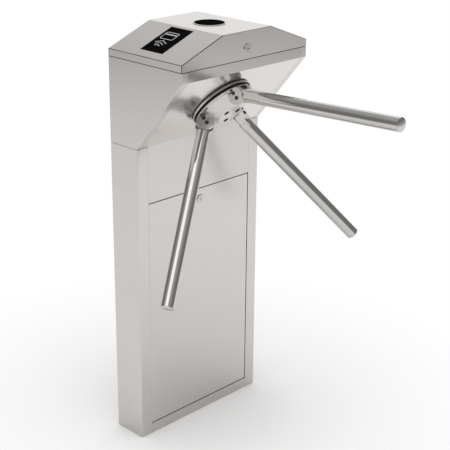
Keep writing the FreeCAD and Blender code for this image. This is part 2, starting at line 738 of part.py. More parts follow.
def rotor_disc():
    plate = disc(ROTOR_RADIUS, ROTOR_FACE, ROTOR_BACK)
    plate = plate.makeFillet(ROTOR_EDGE, [edge for edge in plate.Edges if outer_rim(edge, ROTOR_RADIUS)])
    holes = hub_bolt_holes(HUB_BOLT_RADIUS + SLIP, ROTOR_FACE, ROTOR_BACK)
    return plate.cut([disc(SHAFT_RADIUS + FIXED_FIT, ROTOR_FACE, ROTOR_BACK)] + holes)


def cheek_bolt_places():
    nearest = ROTOR_FACE - CHEEK_HEAD_AIR - CHEEK_HEAD_RADIUS
    return [nearest, nearest - CHEEK_BOLT_STEP]


def across_rod(radius, depth, y_low, y_high):
    return rod(radius, V(CHEEK_REACH, y_low, depth), V(CHEEK_REACH, y_high, depth))


def tongue_blank(half, thickness):
    # Flat root of an arm: round about the cheek centre, then straight along the arm.
    angle = math.radians(ARM_ANGLE)
    round_end = across_rod(half, CHEEK_DEPTH, -thickness / 2, thickness / 2)
    bar = block(0, TUBE_START - CHEEK_ALONG + TONGUE_HALF, -thickness / 2, thickness / 2, -half, half)
    bar.Placement = FreeCAD.Placement(FreeCAD.Matrix(
        math.sin(angle), 0, math.cos(angle), CHEEK_REACH,
        0, 1, 0, 0,
        -math.cos(angle), 0, math.sin(angle), CHEEK_DEPTH,
        0, 0, 0, 1))
    return join(round_end, bar)


def outside_rotor(clearance):
    reach = 2 * ARM_LENGTH
    return block(-reach, reach, -reach, reach, -reach, ROTOR_FACE - clearance)


def cheek_plate(y_low, y_high):
    # Eight-sided cheek with one flat square to the arm, just clear of the end of its tube.
    corner = (CHEEK_RADIUS - CHEEK_CLEARANCE) / math.cos(math.pi / CHEEK_SIDES)
    start = math.radians(ARM_ANGLE - 90) + math.pi / CHEEK_SIDES
    turns = [start + k * math.tau / CHEEK_SIDES for k in range(CHEEK_SIDES)]
    corners = [(CHEEK_REACH + corner * math.cos(turn), y_low, CHEEK_DEPTH + corner * math.sin(turn))
               for turn in turns]
    return prism(corners, V(0, y_high - y_low, 0))


def hub_body():
    cone = Part.makeCone(HUB_END_RADIUS, HUB_BASE_RADIUS, HUB_HEIGHT, V(0, 0, HUB_END))
    cheek = cheek_plate(CHEEK_INNER, CHEEK_OUTER).common(outside_rotor(0))
    solid = cone.fuse(around_axis(cheek) + around_axis(mirrored(cheek)))
    slot = tongue_blank(TONGUE_HALF + CHEEK_CLEARANCE, 2 * CHEEK_INNER)
    bolts = [across_rod(CHEEK_BOLT_RADIUS + FIXED_FIT, depth, -CHEEK_OUTER, CHEEK_OUTER)
             for depth in cheek_bolt_places()]
    cuts = []
    for tool in [slot] + bolts:
        cuts += around_axis(tool)
    cuts += hub_bolt_holes(HUB_BOLT_RADIUS + SLIP, HUB_END, ROTOR_FACE)
    cuts += hub_bolt_holes(HUB_COUNTERBORE_RADIUS, HUB_END, HUB_END + HUB_COUNTERBORE_DEPTH)
    cuts.append(disc(SHAFT_RADIUS + FIXED_FIT, HUB_END + HUB_CAP, ROTOR_FACE))
    return solid.cut(cuts).removeSplitter()


def hub_bolts():
    head_low = HUB_END + HUB_COUNTERBORE_DEPTH - HUB_HEAD_HEIGHT
    bolt = join(disc(HUB_HEAD_RADIUS, head_low, head_low + HUB_HEAD_HEIGHT, -HUB_BOLT_CIRCLE),
                disc(HUB_BOLT_RADIUS, head_low, -SHEET, -HUB_BOLT_CIRCLE))
    socket = hexagon(HUB_HEAD_RADIUS / 2, head_low, head_low + HUB_HEAD_HEIGHT / 2)
    socket.translate(V(-HUB_BOLT_CIRCLE, 0, 0))
    return Part.makeCompound(around_axis(bolt.cut(socket)))


def along_arm(distance):
    angle = math.radians(ARM_ANGLE)
    return V(distance * math.sin(angle), 0, ARM_APEX_DEPTH - distance * math.cos(angle))


def arm(number):
    tube = rod(ARM_RADIUS, along_arm(TUBE_START), along_arm(TUBE_END))
    bore = rod(ARM_RADIUS - ARM_WALL, along_arm(TUBE_START + ARM_ROOT_SOLID), along_arm(TUBE_END))
    tongue = tongue_blank(TONGUE_HALF, TONGUE_THICKNESS).common(outside_rotor(CHEEK_CLEARANCE))
    bolts = [across_rod(CHEEK_BOLT_RADIUS + FIXED_FIT, depth, -CHEEK_OUTER, CHEEK_OUTER)
             for depth in cheek_bolt_places()]
    return turned(join(tube, tongue).cut([bore] + bolts), 360.0 / ARM_COUNT * number)


def arm_end_caps():
    plug = rod(ARM_RADIUS - ARM_WALL - FIXED_FIT, along_arm(TUBE_END - CAP_SPIGOT), along_arm(TUBE_END))
    face = Part.makeCylinder(ARM_RADIUS, CAP_THICKNESS)
    face = face.makeFillet(CAP_EDGE, [edge for edge in face.Edges if edge.BoundBox.ZMin > CAP_EDGE])
    angle = math.radians(ARM_ANGLE)
    start = along_arm(TUBE_END)
    face.Placement = FreeCAD.Placement(FreeCAD.Matrix(
        -math.cos(angle), 0, math.sin(angle), start.x,
        0, 1, 0, 0,
        -math.sin(angle), 0, -math.cos(angle), start.z,
        0, 0, 0, 1))
    return Part.makeCompound(around_axis(join(face, plug)))


def arm_bolts():
    bolts = []
    for depth in cheek_bolt_places():
        shank = across_rod(CHEEK_BOLT_RADIUS, depth, -CHEEK_OUTER, CHEEK_OUTER)
        heads = [across_rod(CHEEK_HEAD_RADIUS, depth, -CHEEK_OUTER - CHEEK_HEAD_HEIGHT, -CHEEK_OUTER),
                 across_rod(CHEEK_HEAD_RADIUS, depth, CHEEK_OUTER, CHEEK_OUTER + CHEEK_HEAD_HEIGHT)]
        bolts += around_axis(join(shank, *heads))
    return Part.makeCompound(bolts)


# Shaft line, in the shaft frame

def main_shaft():
    spindle = disc(SHAFT_RADIUS, HUB_END + HUB_CAP, SHAFT_END)
    flange = disc(SHAFT_FLANGE_RADIUS, ROTOR_BACK, 0)
    holes = hub_bolt_holes(HUB_BOLT_RADIUS + FIXED_FIT, ROTOR_BACK, -SHEET)
    return join(spindle, flange).cut(holes)


def on_shaft(radius, low, width):
    return ring(radius, SHAFT_RADIUS + FIXED_FIT, low, low + width)


def chassis_plate():
    plate = block(-CHASSIS_HALF_LENGTH, CHASSIS_HALF_LENGTH, -CHASSIS_HALF_WIDTH, CHASSIS_HALF_WIDTH,
                  CHASSIS_DEPTH, CHASSIS_INNER)
    legs = [disc(STANDOFF_RADIUS, SHEET, CHASSIS_DEPTH, along, across)
            for along in (-STANDOFF_ALONG, STANDOFF_ALONG)
            for across in (-STANDOFF_ACROSS, STANDOFF_ACROSS)]
    welded = [pawl_pin(), mirrored(pawl_pin()), solenoid_bracket(), mirrored(solenoid_bracket())]
    seat = disc(HOUSING_RADIUS + FIXED_FIT, CHASSIS_DEPTH, CHASSIS_INNER)
    return join(plate, *legs, *welded).cut(seat)


def bearing_housing():
    tube = disc(HOUSING_RADIUS, HOUSING_START, HOUSING_END)
    flange = disc(HOUSING_FLANGE_RADIUS, CHASSIS_DEPTH - HOUSING_FLANGE_THICKNESS, CHASSIS_DEPTH)
    return join(tube, flange).cut(disc(BEARING_RADIUS + FIXED_FIT, HOUSING_START, HOUSING_END))


def shaft_bearings():
    front = HOUSING_START + BEARING_INSET
    rear = HOUSING_END - BEARING_INSET - BEARING_WIDTH
    return Part.makeCompound([bearing(front), bearing(rear)])


def bearing(low):
    body = ring(BEARING_RADIUS, SHAFT_RADIUS + RUNNING, low, low + BEARING_WIDTH)
    groove = (BEARING_RADIUS - SHAFT_RADIUS) / 3
    shield = ring(BEARING_RADIUS - groove, SHAFT_RADIUS + groove, low, low + ROTOR_EDGE)
    return body.cut(shield)


def gear(teeth, low, width, first_angle):
    # Straight-flanked stub teeth, thinned so that the pair runs with backlash.
    pitch_radius = GEAR_MODULE * teeth / 2
    step = 2 * math.pi / teeth
    profile = ((pitch_radius - TOOTH_ROOT_MODULES * GEAR_MODULE, TOOTH_ROOT_SHARE),
               (pitch_radius, TOOTH_PITCH_SHARE),
               (pitch_radius + TOOTH_TIP_MODULES * GEAR_MODULE, TOOTH_TIP_SHARE))
    points = []
    for tooth in range(teeth):
        middle = first_angle + tooth * step
        rising = [(radius, middle - share * step) for radius, share in profile]
        falling = [(radius, middle + share * step) for radius, share in reversed(profile)]
        for radius, angle in rising + falling:
            points.append((radius * math.cos(angle), radius * math.sin(angle), low))
    return prism(points, V(0, 0, width))


def main_gear():
    toward_pinion = math.radians(PINION_DIRECTION)
    blank = gear(GEAR_TEETH, GEAR_DEPTH, GEAR_WIDTH, toward_pinion)
    return blank.cut(disc(SHAFT_RADIUS + FIXED_FIT, GEAR_DEPTH, GEAR_DEPTH + GEAR_WIDTH))


def pinion_place():
    toward = math.radians(PINION_DIRECTION)
    return V(PINION_CENTRES * math.cos(toward), PINION_CENTRES * math.sin(toward), 0)


def damper_pinion():
    facing = math.radians(PINION_DIRECTION + 180.0) + math.pi / PINION_TEETH
    wheel = gear(PINION_TEETH, GEAR_DEPTH - PINION_OVERLAP, GEAR_WIDTH + 2 * PINION_OVERLAP, facing)
    spindle = disc(DAMPER_SHAFT_RADIUS, CHASSIS_INNER + DAMPER_LENGTH - DAMPER_SEAT, GEAR_DEPTH + GEAR_WIDTH)
    pinion = join(wheel, spindle)
    pinion.translate(pinion_place())
    return pinion


def damper_body():
    high = CHASSIS_INNER + DAMPER_LENGTH
    can = disc(DAMPER_RADIUS, CHASSIS_INNER, high)
    seat = disc(DAMPER_SHAFT_RADIUS + RUNNING, high - DAMPER_SEAT - SLIP, high)
    body = can.cut(seat)
    body.translate(pinion_place())
    return body


def index_disc():
    plate = on_shaft(INDEX_RADIUS, INDEX_DEPTH, INDEX_WIDTH)
    notch = block(INDEX_RADIUS - NOTCH_DEPTH, INDEX_RADIUS + NOTCH_DEPTH, -NOTCH_WIDTH / 2, NOTCH_WIDTH / 2,
                  INDEX_DEPTH, INDEX_DEPTH + INDEX_WIDTH)
    step = 360.0 / INDEX_NOTCHES
    return plate.cut([turned(notch, step * (k + 0.5)) for k in range(INDEX_NOTCHES)])


def encoder_disc():
    plate = on_shaft(ENCODER_RADIUS, ENCODER_DEPTH, ENCODER_THICKNESS)
    slot = disc(ENCODER_SLOT_RADIUS, ENCODER_DEPTH, ENCODER_DEPTH + ENCODER_THICKNESS,
                ENCODER_RADIUS - ENCODER_SLOT_INSET)
    return plate.cut([turned(slot, 360.0 / ENCODER_SLOTS * k) for k in range(ENCODER_SLOTS)])


def shaft_nut():
    blank = hexagon(NUT_RADIUS, NUT_DEPTH, SHAFT_END)
    return blank.cut(disc(SHAFT_RADIUS + FIXED_FIT, NUT_DEPTH, SHAFT_END))


def pawl():
    low = PAWL_DEPTH
    high = PAWL_DEPTH + PAWL_THICKNESS
    boss = disc(PAWL_BOSS_RADIUS, low, high, PAWL_PIVOT_ALONG, PAWL_PIVOT_ACROSS)
    lever = block(PAWL_PIVOT_ALONG, PAWL_NOSE_OVERRUN, PAWL_PIVOT_ACROSS - PAWL_HALF_WIDTH,
                  PAWL_PIVOT_ACROSS + PAWL_HALF_WIDTH, low, high)
    nose = block(-PAWL_NOSE_HALF, PAWL_NOSE_HALF, INDEX_RADIUS + PAWL_NOSE_CLEARANCE,
                 PAWL_PIVOT_ACROSS, low, high)
    hole = disc(PAWL_PIN_RADIUS + RUNNING, low, high, PAWL_PIVOT_ALONG, PAWL_PIVOT_ACROSS)
    return join(boss, lever, nose).cut(hole)


def pawl_pin():
    return disc(PAWL_PIN_RADIUS, CHASSIS_INNER, PAWL_DEPTH + PAWL_THICKNESS + SHEET,
                PAWL_PIVOT_ALONG, PAWL_PIVOT_ACROSS)


def plunger_start():
    return PAWL_PIVOT_ACROSS + PAWL_HALF_WIDTH + PLUNGER_GAP


def plunger():
    tip = V(PLUNGER_ALONG, plunger_start(), PLUNGER_DEPTH)
    neck = tip + V(0, PLUNGER_TIP, 0)
    return join(rod(PLUNGER_TIP_RADIUS, tip, neck), rod(PLUNGER_RADIUS, neck, neck + V(0, PLUNGER_LENGTH, 0)))


def solenoid():
    y_low = plunger_start() + SOLENOID_GAP
    half = SOLENOID_WIDTH / 2
    coil = block(PLUNGER_ALONG - half, PLUNGER_ALONG + half, y_low, y_low + SOLENOID_LENGTH,
                 PLUNGER_DEPTH - SOLENOID_HEIGHT / 2, PLUNGER_DEPTH + SOLENOID_HEIGHT / 2)
    bore = rod(PLUNGER_RADIUS + RUNNING, V(PLUNGER_ALONG, y_low, PLUNGER_DEPTH),
               V(PLUNGER_ALONG, y_low + SOLENOID_LENGTH, PLUNGER_DEPTH))
    return coil.cut(bore)


def solenoids():
    return Part.makeCompound([solenoid(), mirrored(solenoid())])


def solenoid_bracket():
    y_low = plunger_start() + SOLENOID_GAP
    half = BRACKET_WIDTH / 2
    return block(PLUNGER_ALONG - half, PLUNGER_ALONG + half, y_low, y_low + SOLENOID_LENGTH,
                 CHASSIS_INNER, PLUNGER_DEPTH - SOLENOID_HEIGHT / 2)


def position_sensor():
    half = SENSOR_HALF_WIDTH
    middle = ENCODER_DEPTH + ENCODER_THICKNESS / 2
    low = middle - SENSOR_SLOT / 2 - SENSOR_WALL
    high = middle + SENSOR_SLOT / 2 + SENSOR_WALL
    post_low = INDEX_RADIUS + SENSOR_POST_GAP
    post_high = post_low + SENSOR_POST
    post = block(post_low, post_high, -half, half, CHASSIS_INNER, high)
    head = block(ENCODER_RADIUS - SENSOR_REACH, post_high, -half, half, low, high)
    slot = block(0, ENCODER_RADIUS + SENSOR_REACH, -half, half, low + SENSOR_WALL, high - SENSOR_WALL)
    return join(post, head).cut(slot)


# Electronics on the inner face of the column's back panel

X_WALL = X_BACK + SHEET


def board_studs():
    y = BOARD_HALF_WIDTH - BOARD_MARGIN
    z_places = (BOARD_BOTTOM + BOARD_MARGIN, BOARD_BOTTOM + BOARD_HEIGHT - BOARD_MARGIN)
    return [rod(BOARD_STUD_RADIUS, V(X_WALL, side * y, z), V(X_WALL + BOARD_STUD, side * y, z))
            for side in (-1, 1) for z in z_places]


def control_board():
    x_low = X_WALL + BOARD_STUD
    x_high = x_low + BOARD_THICKNESS
    half = BOARD_HALF_WIDTH
    plate = block(x_low, x_high, -half, half, BOARD_BOTTOM, BOARD_BOTTOM + BOARD_HEIGHT)
    chips = []
    for y, rise, width, height in CHIPS:
        z = BOARD_BOTTOM + rise
        chips.append(block(x_high, x_high + CHIP_HEIGHT, y - width / 2, y + width / 2,
                           z - height / 2, z + height / 2))
    return join(plate, *chips)


def power_supply():
    half = SUPPLY_HALF_WIDTH
    x_high = X_WALL + SUPPLY_DEPTH
    case = block(X_WALL, x_high, -half, half, SUPPLY_BOTTOM, SUPPLY_BOTTOM + SUPPLY_HEIGHT)
    pitch = SUPPLY_HEIGHT / (SUPPLY_SLOTS + 2)
    slots = []
    for k in range(SUPPLY_SLOTS):
        z = SUPPLY_BOTTOM + pitch * (k + 1.5)
        slots.append(block(x_high - SUPPLY_SLOT_DEPTH, x_high, -half / 2, half / 2, z, z + SUPPLY_SLOT_WIDTH))
    return case.cut(slots)


def terminal_block():
    half = TERMINAL_HALF_WIDTH
    x_high = X_WALL + TERMINAL_DEPTH
    body = block(X_WALL, x_high, -half, half, TERMINAL_BOTTOM, TERMINAL_BOTTOM + TERMINAL_HEIGHT)
    pitch = 2 * half / TERMINAL_WAYS
    screw_z = TERMINAL_BOTTOM + TERMINAL_HEIGHT / 2
    screws = []
    for k in range(TERMINAL_WAYS):
        y = (k + 0.5) * pitch - half
        screws.append(rod(pitch / 4, V(x_high - SHEET, y, screw_z), V(x_high, y, screw_z)))
    return body.cut(screws)


def on_shaft_line(shape):
    return seated(shape, SHAFT_FRAME)


pieces = {
    "base_plate": base_plate(),
    "cable_grommet": cable_grommet(),
    "column_front_post": column_post(-1),
    "column_rear_post": column_post(1),
    "column_back_panel": column_back_panel(),
    "column_upper_panel": column_upper_panel(),
    "plinth_panel": plinth_panel(),
    "head_deck": head_deck(),
    "head_front_panel": head_end_panel(-1),
    "head_rear_panel": head_end_panel(1),
    "head_slope_panel": head_slope_panel(),
    "head_back_panel": head_back_panel(),
    "strike_bracket": strike_bracket(),
    "lid_hinge_fixed_leaves": hinge_groups(False),
    "lid_hinge_pins": hinge_pins(),
    "lid_hinge_moving_leaves": hinge_groups(True),
    "lid_shell": lid_shell(),
    "reader_window": reader_window(),
    "reader_module": reader_module(),
    "indicator_lens": indicator_lens(),
    "indicator_bezel": indicator_bezel(),
    "indicator_board": indicator_board(),
    "lid_lock_housing": seated(lock_housing(), LID_LOCK_FRAME),
    "lid_lock_plug": seated(lock_plug(), LID_LOCK_FRAME),
    "lid_lock_cam": seated(lock_cam(LID_CAM_REACH), LID_LOCK_FRAME),
    "access_door": access_door(),
    "door_pivot_pins": door_pivot_pins(),
    "door_lock_housing": seated(lock_housing(), DOOR_LOCK_FRAME),
    "door_lock_plug": seated(lock_plug(), DOOR_LOCK_FRAME),
    "door_lock_cam": seated(lock_cam(DOOR_CAM_REACH), DOOR_LOCK_FRAME),
    "collar_ring": on_shaft_line(collar_ring()),
    "seal_ring": on_shaft_line(seal_ring()),
    "rotor_disc": on_shaft_line(rotor_disc()),
    "hub_body": on_shaft_line(hub_body()),
    "hub_bolts": on_shaft_line(hub_bolts()),
    "arm_1": on_shaft_line(arm(0)),
    "arm_2": on_shaft_line(arm(1)),
    "arm_3": on_shaft_line(arm(2)),
    "arm_end_caps": on_shaft_line(arm_end_caps()),
    "arm_bolts": on_shaft_line(arm_bolts()),
    "main_shaft": on_shaft_line(main_shaft()),
    "shaft_nut": on_shaft_line(shaft_nut()),
    "chassis_plate": on_shaft_line(chassis_plate()),
    "bearing_housing": on_shaft_line(bearing_housing()),
    "shaft_bearings": on_shaft_line(shaft_bearings()),
    "main_gear": on_shaft_line(main_gear()),
    "damper_pinion": on_shaft_line(damper_pinion()),
    "damper_body": on_shaft_line(damper_body()),
    "index_disc": on_shaft_line(index_disc()),
    "encoder_disc": on_shaft_line(encoder_disc()),
    "position_sensor": on_shaft_line(position_sensor()),
    "solenoids": on_shaft_line(solenoids()),
    "control_board": control_board(),
    "power_supply": power_supply(),
    "terminal_block": terminal_block(),
}

for side, mirror in (("rear", False), ("front", True)):
    for name, make in (("pawl", pawl), ("plunger", plunger)):
        shape = mirrored(make()) if mirror else make()
        pieces[side + "_" + name] = on_shaft_line(shape)

os.makedirs("parts", exist_ok=True)
for name, shape in pieces.items():
    shape.exportStep("parts/" + name + ".step")
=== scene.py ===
import bmesh
import bpy
import json
import math
from mathutils import Euler, Matrix, Vector

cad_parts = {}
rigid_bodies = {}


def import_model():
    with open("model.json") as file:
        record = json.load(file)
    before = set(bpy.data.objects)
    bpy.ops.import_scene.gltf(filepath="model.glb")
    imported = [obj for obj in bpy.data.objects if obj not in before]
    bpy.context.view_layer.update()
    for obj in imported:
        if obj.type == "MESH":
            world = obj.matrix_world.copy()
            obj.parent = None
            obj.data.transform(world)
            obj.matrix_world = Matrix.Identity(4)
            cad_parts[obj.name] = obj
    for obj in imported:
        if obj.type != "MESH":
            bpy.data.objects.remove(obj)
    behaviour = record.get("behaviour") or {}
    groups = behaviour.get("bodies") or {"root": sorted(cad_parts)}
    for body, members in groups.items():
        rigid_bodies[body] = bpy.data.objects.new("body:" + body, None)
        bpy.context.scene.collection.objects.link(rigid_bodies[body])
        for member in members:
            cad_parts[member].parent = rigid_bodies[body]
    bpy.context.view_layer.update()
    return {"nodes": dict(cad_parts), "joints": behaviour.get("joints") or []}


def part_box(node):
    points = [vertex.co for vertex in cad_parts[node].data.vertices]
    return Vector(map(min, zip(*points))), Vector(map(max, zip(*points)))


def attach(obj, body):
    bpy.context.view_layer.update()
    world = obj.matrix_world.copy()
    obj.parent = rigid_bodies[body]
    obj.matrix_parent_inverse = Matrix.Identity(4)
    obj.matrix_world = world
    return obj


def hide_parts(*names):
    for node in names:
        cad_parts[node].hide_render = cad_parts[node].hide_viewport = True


for spare in list(bpy.data.objects):
    bpy.data.objects.remove(spare)
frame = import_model()
nodes = frame["nodes"]


# Floor plate and cable grommet
# A flame-cut zinc-plated steel plate under the column, held down by four anchors.
# A rubber grommet in its middle guards the cables that come up from the floor.

def add(tree, kind, inputs=(), **settings):
    node = tree.nodes.new(kind)
    for key, value in settings.items():
        setattr(node, key, value)
    for key, value in dict(inputs).items():
        if isinstance(value, bpy.types.NodeSocket):
            tree.links.new(value, node.inputs[key])
        else:
            node.inputs[key].default_value = value
    return node


def new_group(name, inputs, outputs):
    tree = bpy.data.node_groups.new(name, "ShaderNodeTree")
    for label, kind, value in inputs:
        socket = tree.interface.new_socket(label, in_out="INPUT", socket_type=kind)
        socket.default_value = value
    for label in outputs:
        tree.interface.new_socket(label, in_out="OUTPUT", socket_type="NodeSocketFloat")
    return tree, tree.nodes.new("NodeGroupInput"), tree.nodes.new("NodeGroupOutput")


# Drawn grain: fine lines along the sheet, broken into strokes, and a slow cloud over the whole piece.
grain, grain_in, grain_out = new_group(
    "drawn_grain",
    [("Position", "NodeSocketVector", (0, 0, 0)), ("Stretch", "NodeSocketVector", (900, 900, 14))],
    ["Lines", "Cloud"])
stretched = add(grain, "ShaderNodeVectorMath",
                {0: grain_in.outputs["Position"], 1: grain_in.outputs["Stretch"]}, operation="MULTIPLY")
strokes = add(grain, "ShaderNodeTexNoise",
              {"Vector": stretched.outputs[0], "Scale": 1.0, "Detail": 3.0, "Roughness": 0.6})
cloud = add(grain, "ShaderNodeTexNoise",
            {"Vector": grain_in.outputs["Position"], "Scale": 7.0, "Detail": 2.0})
grain.links.new(strokes.outputs["Fac"], grain_out.inputs["Lines"])
grain.links.new(cloud.outputs["Fac"], grain_out.inputs["Cloud"])


def new_material(name):
    material = bpy.data.materials.new(name)
    material.use_nodes = True
    tree = material.node_tree
    shader = tree.nodes["Principled BSDF"]
    position = add(tree, "ShaderNodeTexCoord").outputs["Object"]
    return material, tree, shader, position


def ranged(tree, value, low, high, from_low=0.3, from_high=0.7):
    return add(tree, "ShaderNodeMapRange", {"Value": value, "From Min": from_low, "From Max": from_high,
                                            "To Min": low, "To Max": high}).outputs["Result"]


def combined(tree, operation, first, second):
    return add(tree, "ShaderNodeMath", {0: first, 1: second}, operation=operation).outputs[0]


def blended(tree, factor, first, second):
    mix = add(tree, "ShaderNodeMix", {0: factor}, data_type="RGBA")
    for socket, colour in ((mix.inputs[6], first), (mix.inputs[7], second)):
        if isinstance(colour, bpy.types.NodeSocket):
            tree.links.new(colour, socket)
        else:
            socket.default_value = (*colour, 1.0)
    return mix.outputs[2]


def drawn_metal(name, dark, pale, roughness, spread, stretch, relief=0.02, painted_shade=None):
    # Metal with a drawn or ground grain: tone, gloss and a shallow relief all follow the strokes.
    # Painted shade, where there is any, is a share and the darker tone that it turns the metal to.
    stroke_depth = 0.001
    material, tree, shader, position = new_material(name)
    strokes = add(tree, "ShaderNodeGroup", {}, node_tree=grain)
    tree.links.new(position, strokes.inputs["Position"])
    strokes.inputs["Stretch"].default_value = stretch
    lines, clouds = strokes.outputs["Lines"], strokes.outputs["Cloud"]
    mean = combined(tree, "MULTIPLY", combined(tree, "ADD", lines, clouds), 0.5)
    tone = blended(tree, ranged(tree, mean, 0.0, 1.0), dark, pale)
    if painted_shade:
        group, painted_shade_tone = painted_shade
        facing_way = add(tree, "ShaderNodeTexCoord").outputs["Normal"]
        painted_shade_share = add(tree, "ShaderNodeGroup", {}, node_tree=group)
        tree.links.new(facing_way, painted_shade_share.inputs["Facing"])
        tone = blended(tree, painted_shade_share.outputs["Share"], tone, painted_shade_tone)
    tree.links.new(tone, shader.inputs["Base Color"])
    tree.links.new(ranged(tree, clouds, roughness - spread, roughness + spread), shader.inputs["Roughness"])
    bump = add(tree, "ShaderNodeBump", {"Height": lines, "Strength": relief, "Distance": stroke_depth})
    tree.links.new(bump.outputs["Normal"], shader.inputs["Normal"])
    shader.inputs["Metallic"].default_value = 1.0
    return material


def moulded(name, dark, pale, roughness, pebble_scale, relief, shine=0.5):
    # Rubber or moulded plastic: a fine pebbled skin with a slow change of tone.
    pebble_depth, gloss_change = 0.0005, 0.06
    material, tree, shader, position = new_material(name)
    pebbles = add(tree, "ShaderNodeTexNoise", {"Vector": position, "Scale": pebble_scale, "Detail": 2.0})
    slow = add(tree, "ShaderNodeTexNoise", {"Vector": position, "Scale": 18.0, "Detail": 2.0})
    tone = blended(tree, ranged(tree, slow.outputs["Fac"], 0.0, 1.0), dark, pale)
    tree.links.new(tone, shader.inputs["Base Color"])
    gloss = ranged(tree, pebbles.outputs["Fac"], roughness - gloss_change, roughness + gloss_change)
    tree.links.new(gloss, shader.inputs["Roughness"])
    bump = add(tree, "ShaderNodeBump",
               {"Height": pebbles.outputs["Fac"], "Strength": relief, "Distance": pebble_depth})
    tree.links.new(bump.outputs["Normal"], shader.inputs["Normal"])
    shader.inputs["Specular IOR Level"].default_value = shine
    return material


def dress(material, *names):
    for name in names:
        for slot in nodes[name].material_slots:
            slot.material = material


zinc_plate = drawn_metal("zinc_plate", dark=(0.36, 0.37, 0.39), pale=(0.52, 0.53, 0.54),
                         roughness=0.38, spread=0.08, stretch=(60, 60, 60))
black_rubber = moulded("black_rubber", dark=(0.006, 0.006, 0.006), pale=(0.012, 0.012, 0.012),
                       roughness=0.62, pebble_scale=900.0, relief=0.15, shine=0.15)
dress(zinc_plate, "base_plate")
dress(black_rubber, "cable_grommet")


# Column
# Two folded stainless posts and flat panels between them, in satin sheet with the grain running upward.
# The panels are spot-welded behind the returns of the posts, so only thin joints show.

satin_dark = (0.725, 0.70, 0.682)
satin_pale = (0.765, 0.74, 0.722)
satin_relief = 0.008
column_sheet = drawn_metal("column_sheet", satin_dark, satin_pale, roughness=0.24, spread=0.02,
                           stretch=(700, 700, 9), relief=satin_relief)
dress(column_sheet, "column_front_post", "column_rear_post", "column_back_panel", "column_upper_panel",
      "plinth_panel")


# Screws of the back panels
# Button-head stainless screws with a hexagon socket, which hold the back panels from outside.
# They sit in two rows up the column and along the head.

def placed_mesh(name, bm, material, body, smooth_angle=40.0):
    mesh = bpy.data.meshes.new(name)
    bmesh.ops.recalc_face_normals(bm, faces=bm.faces)
    bm.to_mesh(mesh)
    bm.free()
    mesh.materials.append(material)
    mesh.shade_smooth()
    mesh.set_sharp_from_angle(angle=math.radians(smooth_angle))
    piece = bpy.data.objects.new(name, mesh)
    bpy.context.scene.collection.objects.link(piece)
    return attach(piece, body)


def facing(origin, outward):
    # A frame at origin whose +Z points outward.
    return Matrix.Translation(origin) @ Vector(outward).to_track_quat("Z", "Y").to_matrix().to_4x4()


def skin(bm, rings):
    # Joins rings of points, one above the other, to a closed body.
    rings = [[bm.verts.new(point) for point in ring] for ring in rings]
    count = len(rings[0])
    for low, high in zip(rings, rings[1:]):
        for k in range(count):
            bm.faces.new((low[k], low[(k + 1) % count], high[(k + 1) % count], high[k]))
    bm.faces.new(rings[0])
    bm.faces.new(rings[-1])


def circle(place, radius, height, sides=24):
    turns = [k * math.tau / sides for k in range(sides)]
    return [place @ Vector((radius * math.cos(turn), radius * math.sin(turn), height)) for turn in turns]


def hexagon(place, corner, height, sides=24):
    # The hexagon has as many points as the circle round it, so that the two can be joined.
    points = []
    for k in range(sides):
        turn = k * math.tau / sides
        reach = corner * math.cos(math.pi / 6) / math.cos(turn % (math.pi / 3) - math.pi / 6)
        points.append(place @ Vector((reach * math.cos(turn), reach * math.sin(turn), height)))
    return points


def add_socket_screw(bm, place, radius, height, socket):
    # A domed head whose top runs down into a hexagon socket.
    dome = ((1.0, 0.0), (1.0, 0.25), (0.93, 0.6), (0.78, 0.88), (0.62, 1.0))
    socket_floor = 0.35
    rings = [circle(place, radius * reach, height * level) for reach, level in dome]
    rings += [hexagon(place, socket, height), hexagon(place, socket, height * socket_floor)]
    skin(bm, rings)


screw_metal = drawn_metal("screw_metal", dark=(0.48, 0.47, 0.46), pale=(0.62, 0.61, 0.60),
                          roughness=0.25, spread=0.05, stretch=(300, 300, 300))

# Here and below, the sizes of a screw are the radius and height of its head and the corner of its socket.
panel_screw = 0.0048, 0.0024, 0.0021
screw_inset = 0.022
column_shares = (0.06, 0.35, 0.65, 0.94)
backward = (-1, 0, 0)
back_low, back_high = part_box("column_back_panel")
head_low, head_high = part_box("head_back_panel")
screws = bmesh.new()
for y in (back_low.y + screw_inset, back_high.y - screw_inset):
    for share in column_shares:
        z = back_low.z + (back_high.z - back_low.z) * share
        add_socket_screw(screws, facing((back_low.x, y, z), backward), *panel_screw)
for y in (head_low.y + screw_inset, head_high.y - screw_inset):
    for z in (head_low.z + 2 * screw_inset, head_high.z - 3 * screw_inset):
        add_socket_screw(screws, facing((head_low.x, y, z), backward), *panel_screw)
placed_mesh("back_panel_screws", screws, screw_metal, "cabinet")


# Head
# A folded front and rear panel with narrow returns, and a bent sheet for the slope and the strip above it.
# The slope is finished finer than the rest, so that the hub shows in it as a soft reflection.

head_sheet = drawn_metal("head_sheet", satin_dark, satin_pale, roughness=0.26, spread=0.02,
                         stretch=(700, 700, 9), relief=satin_relief)
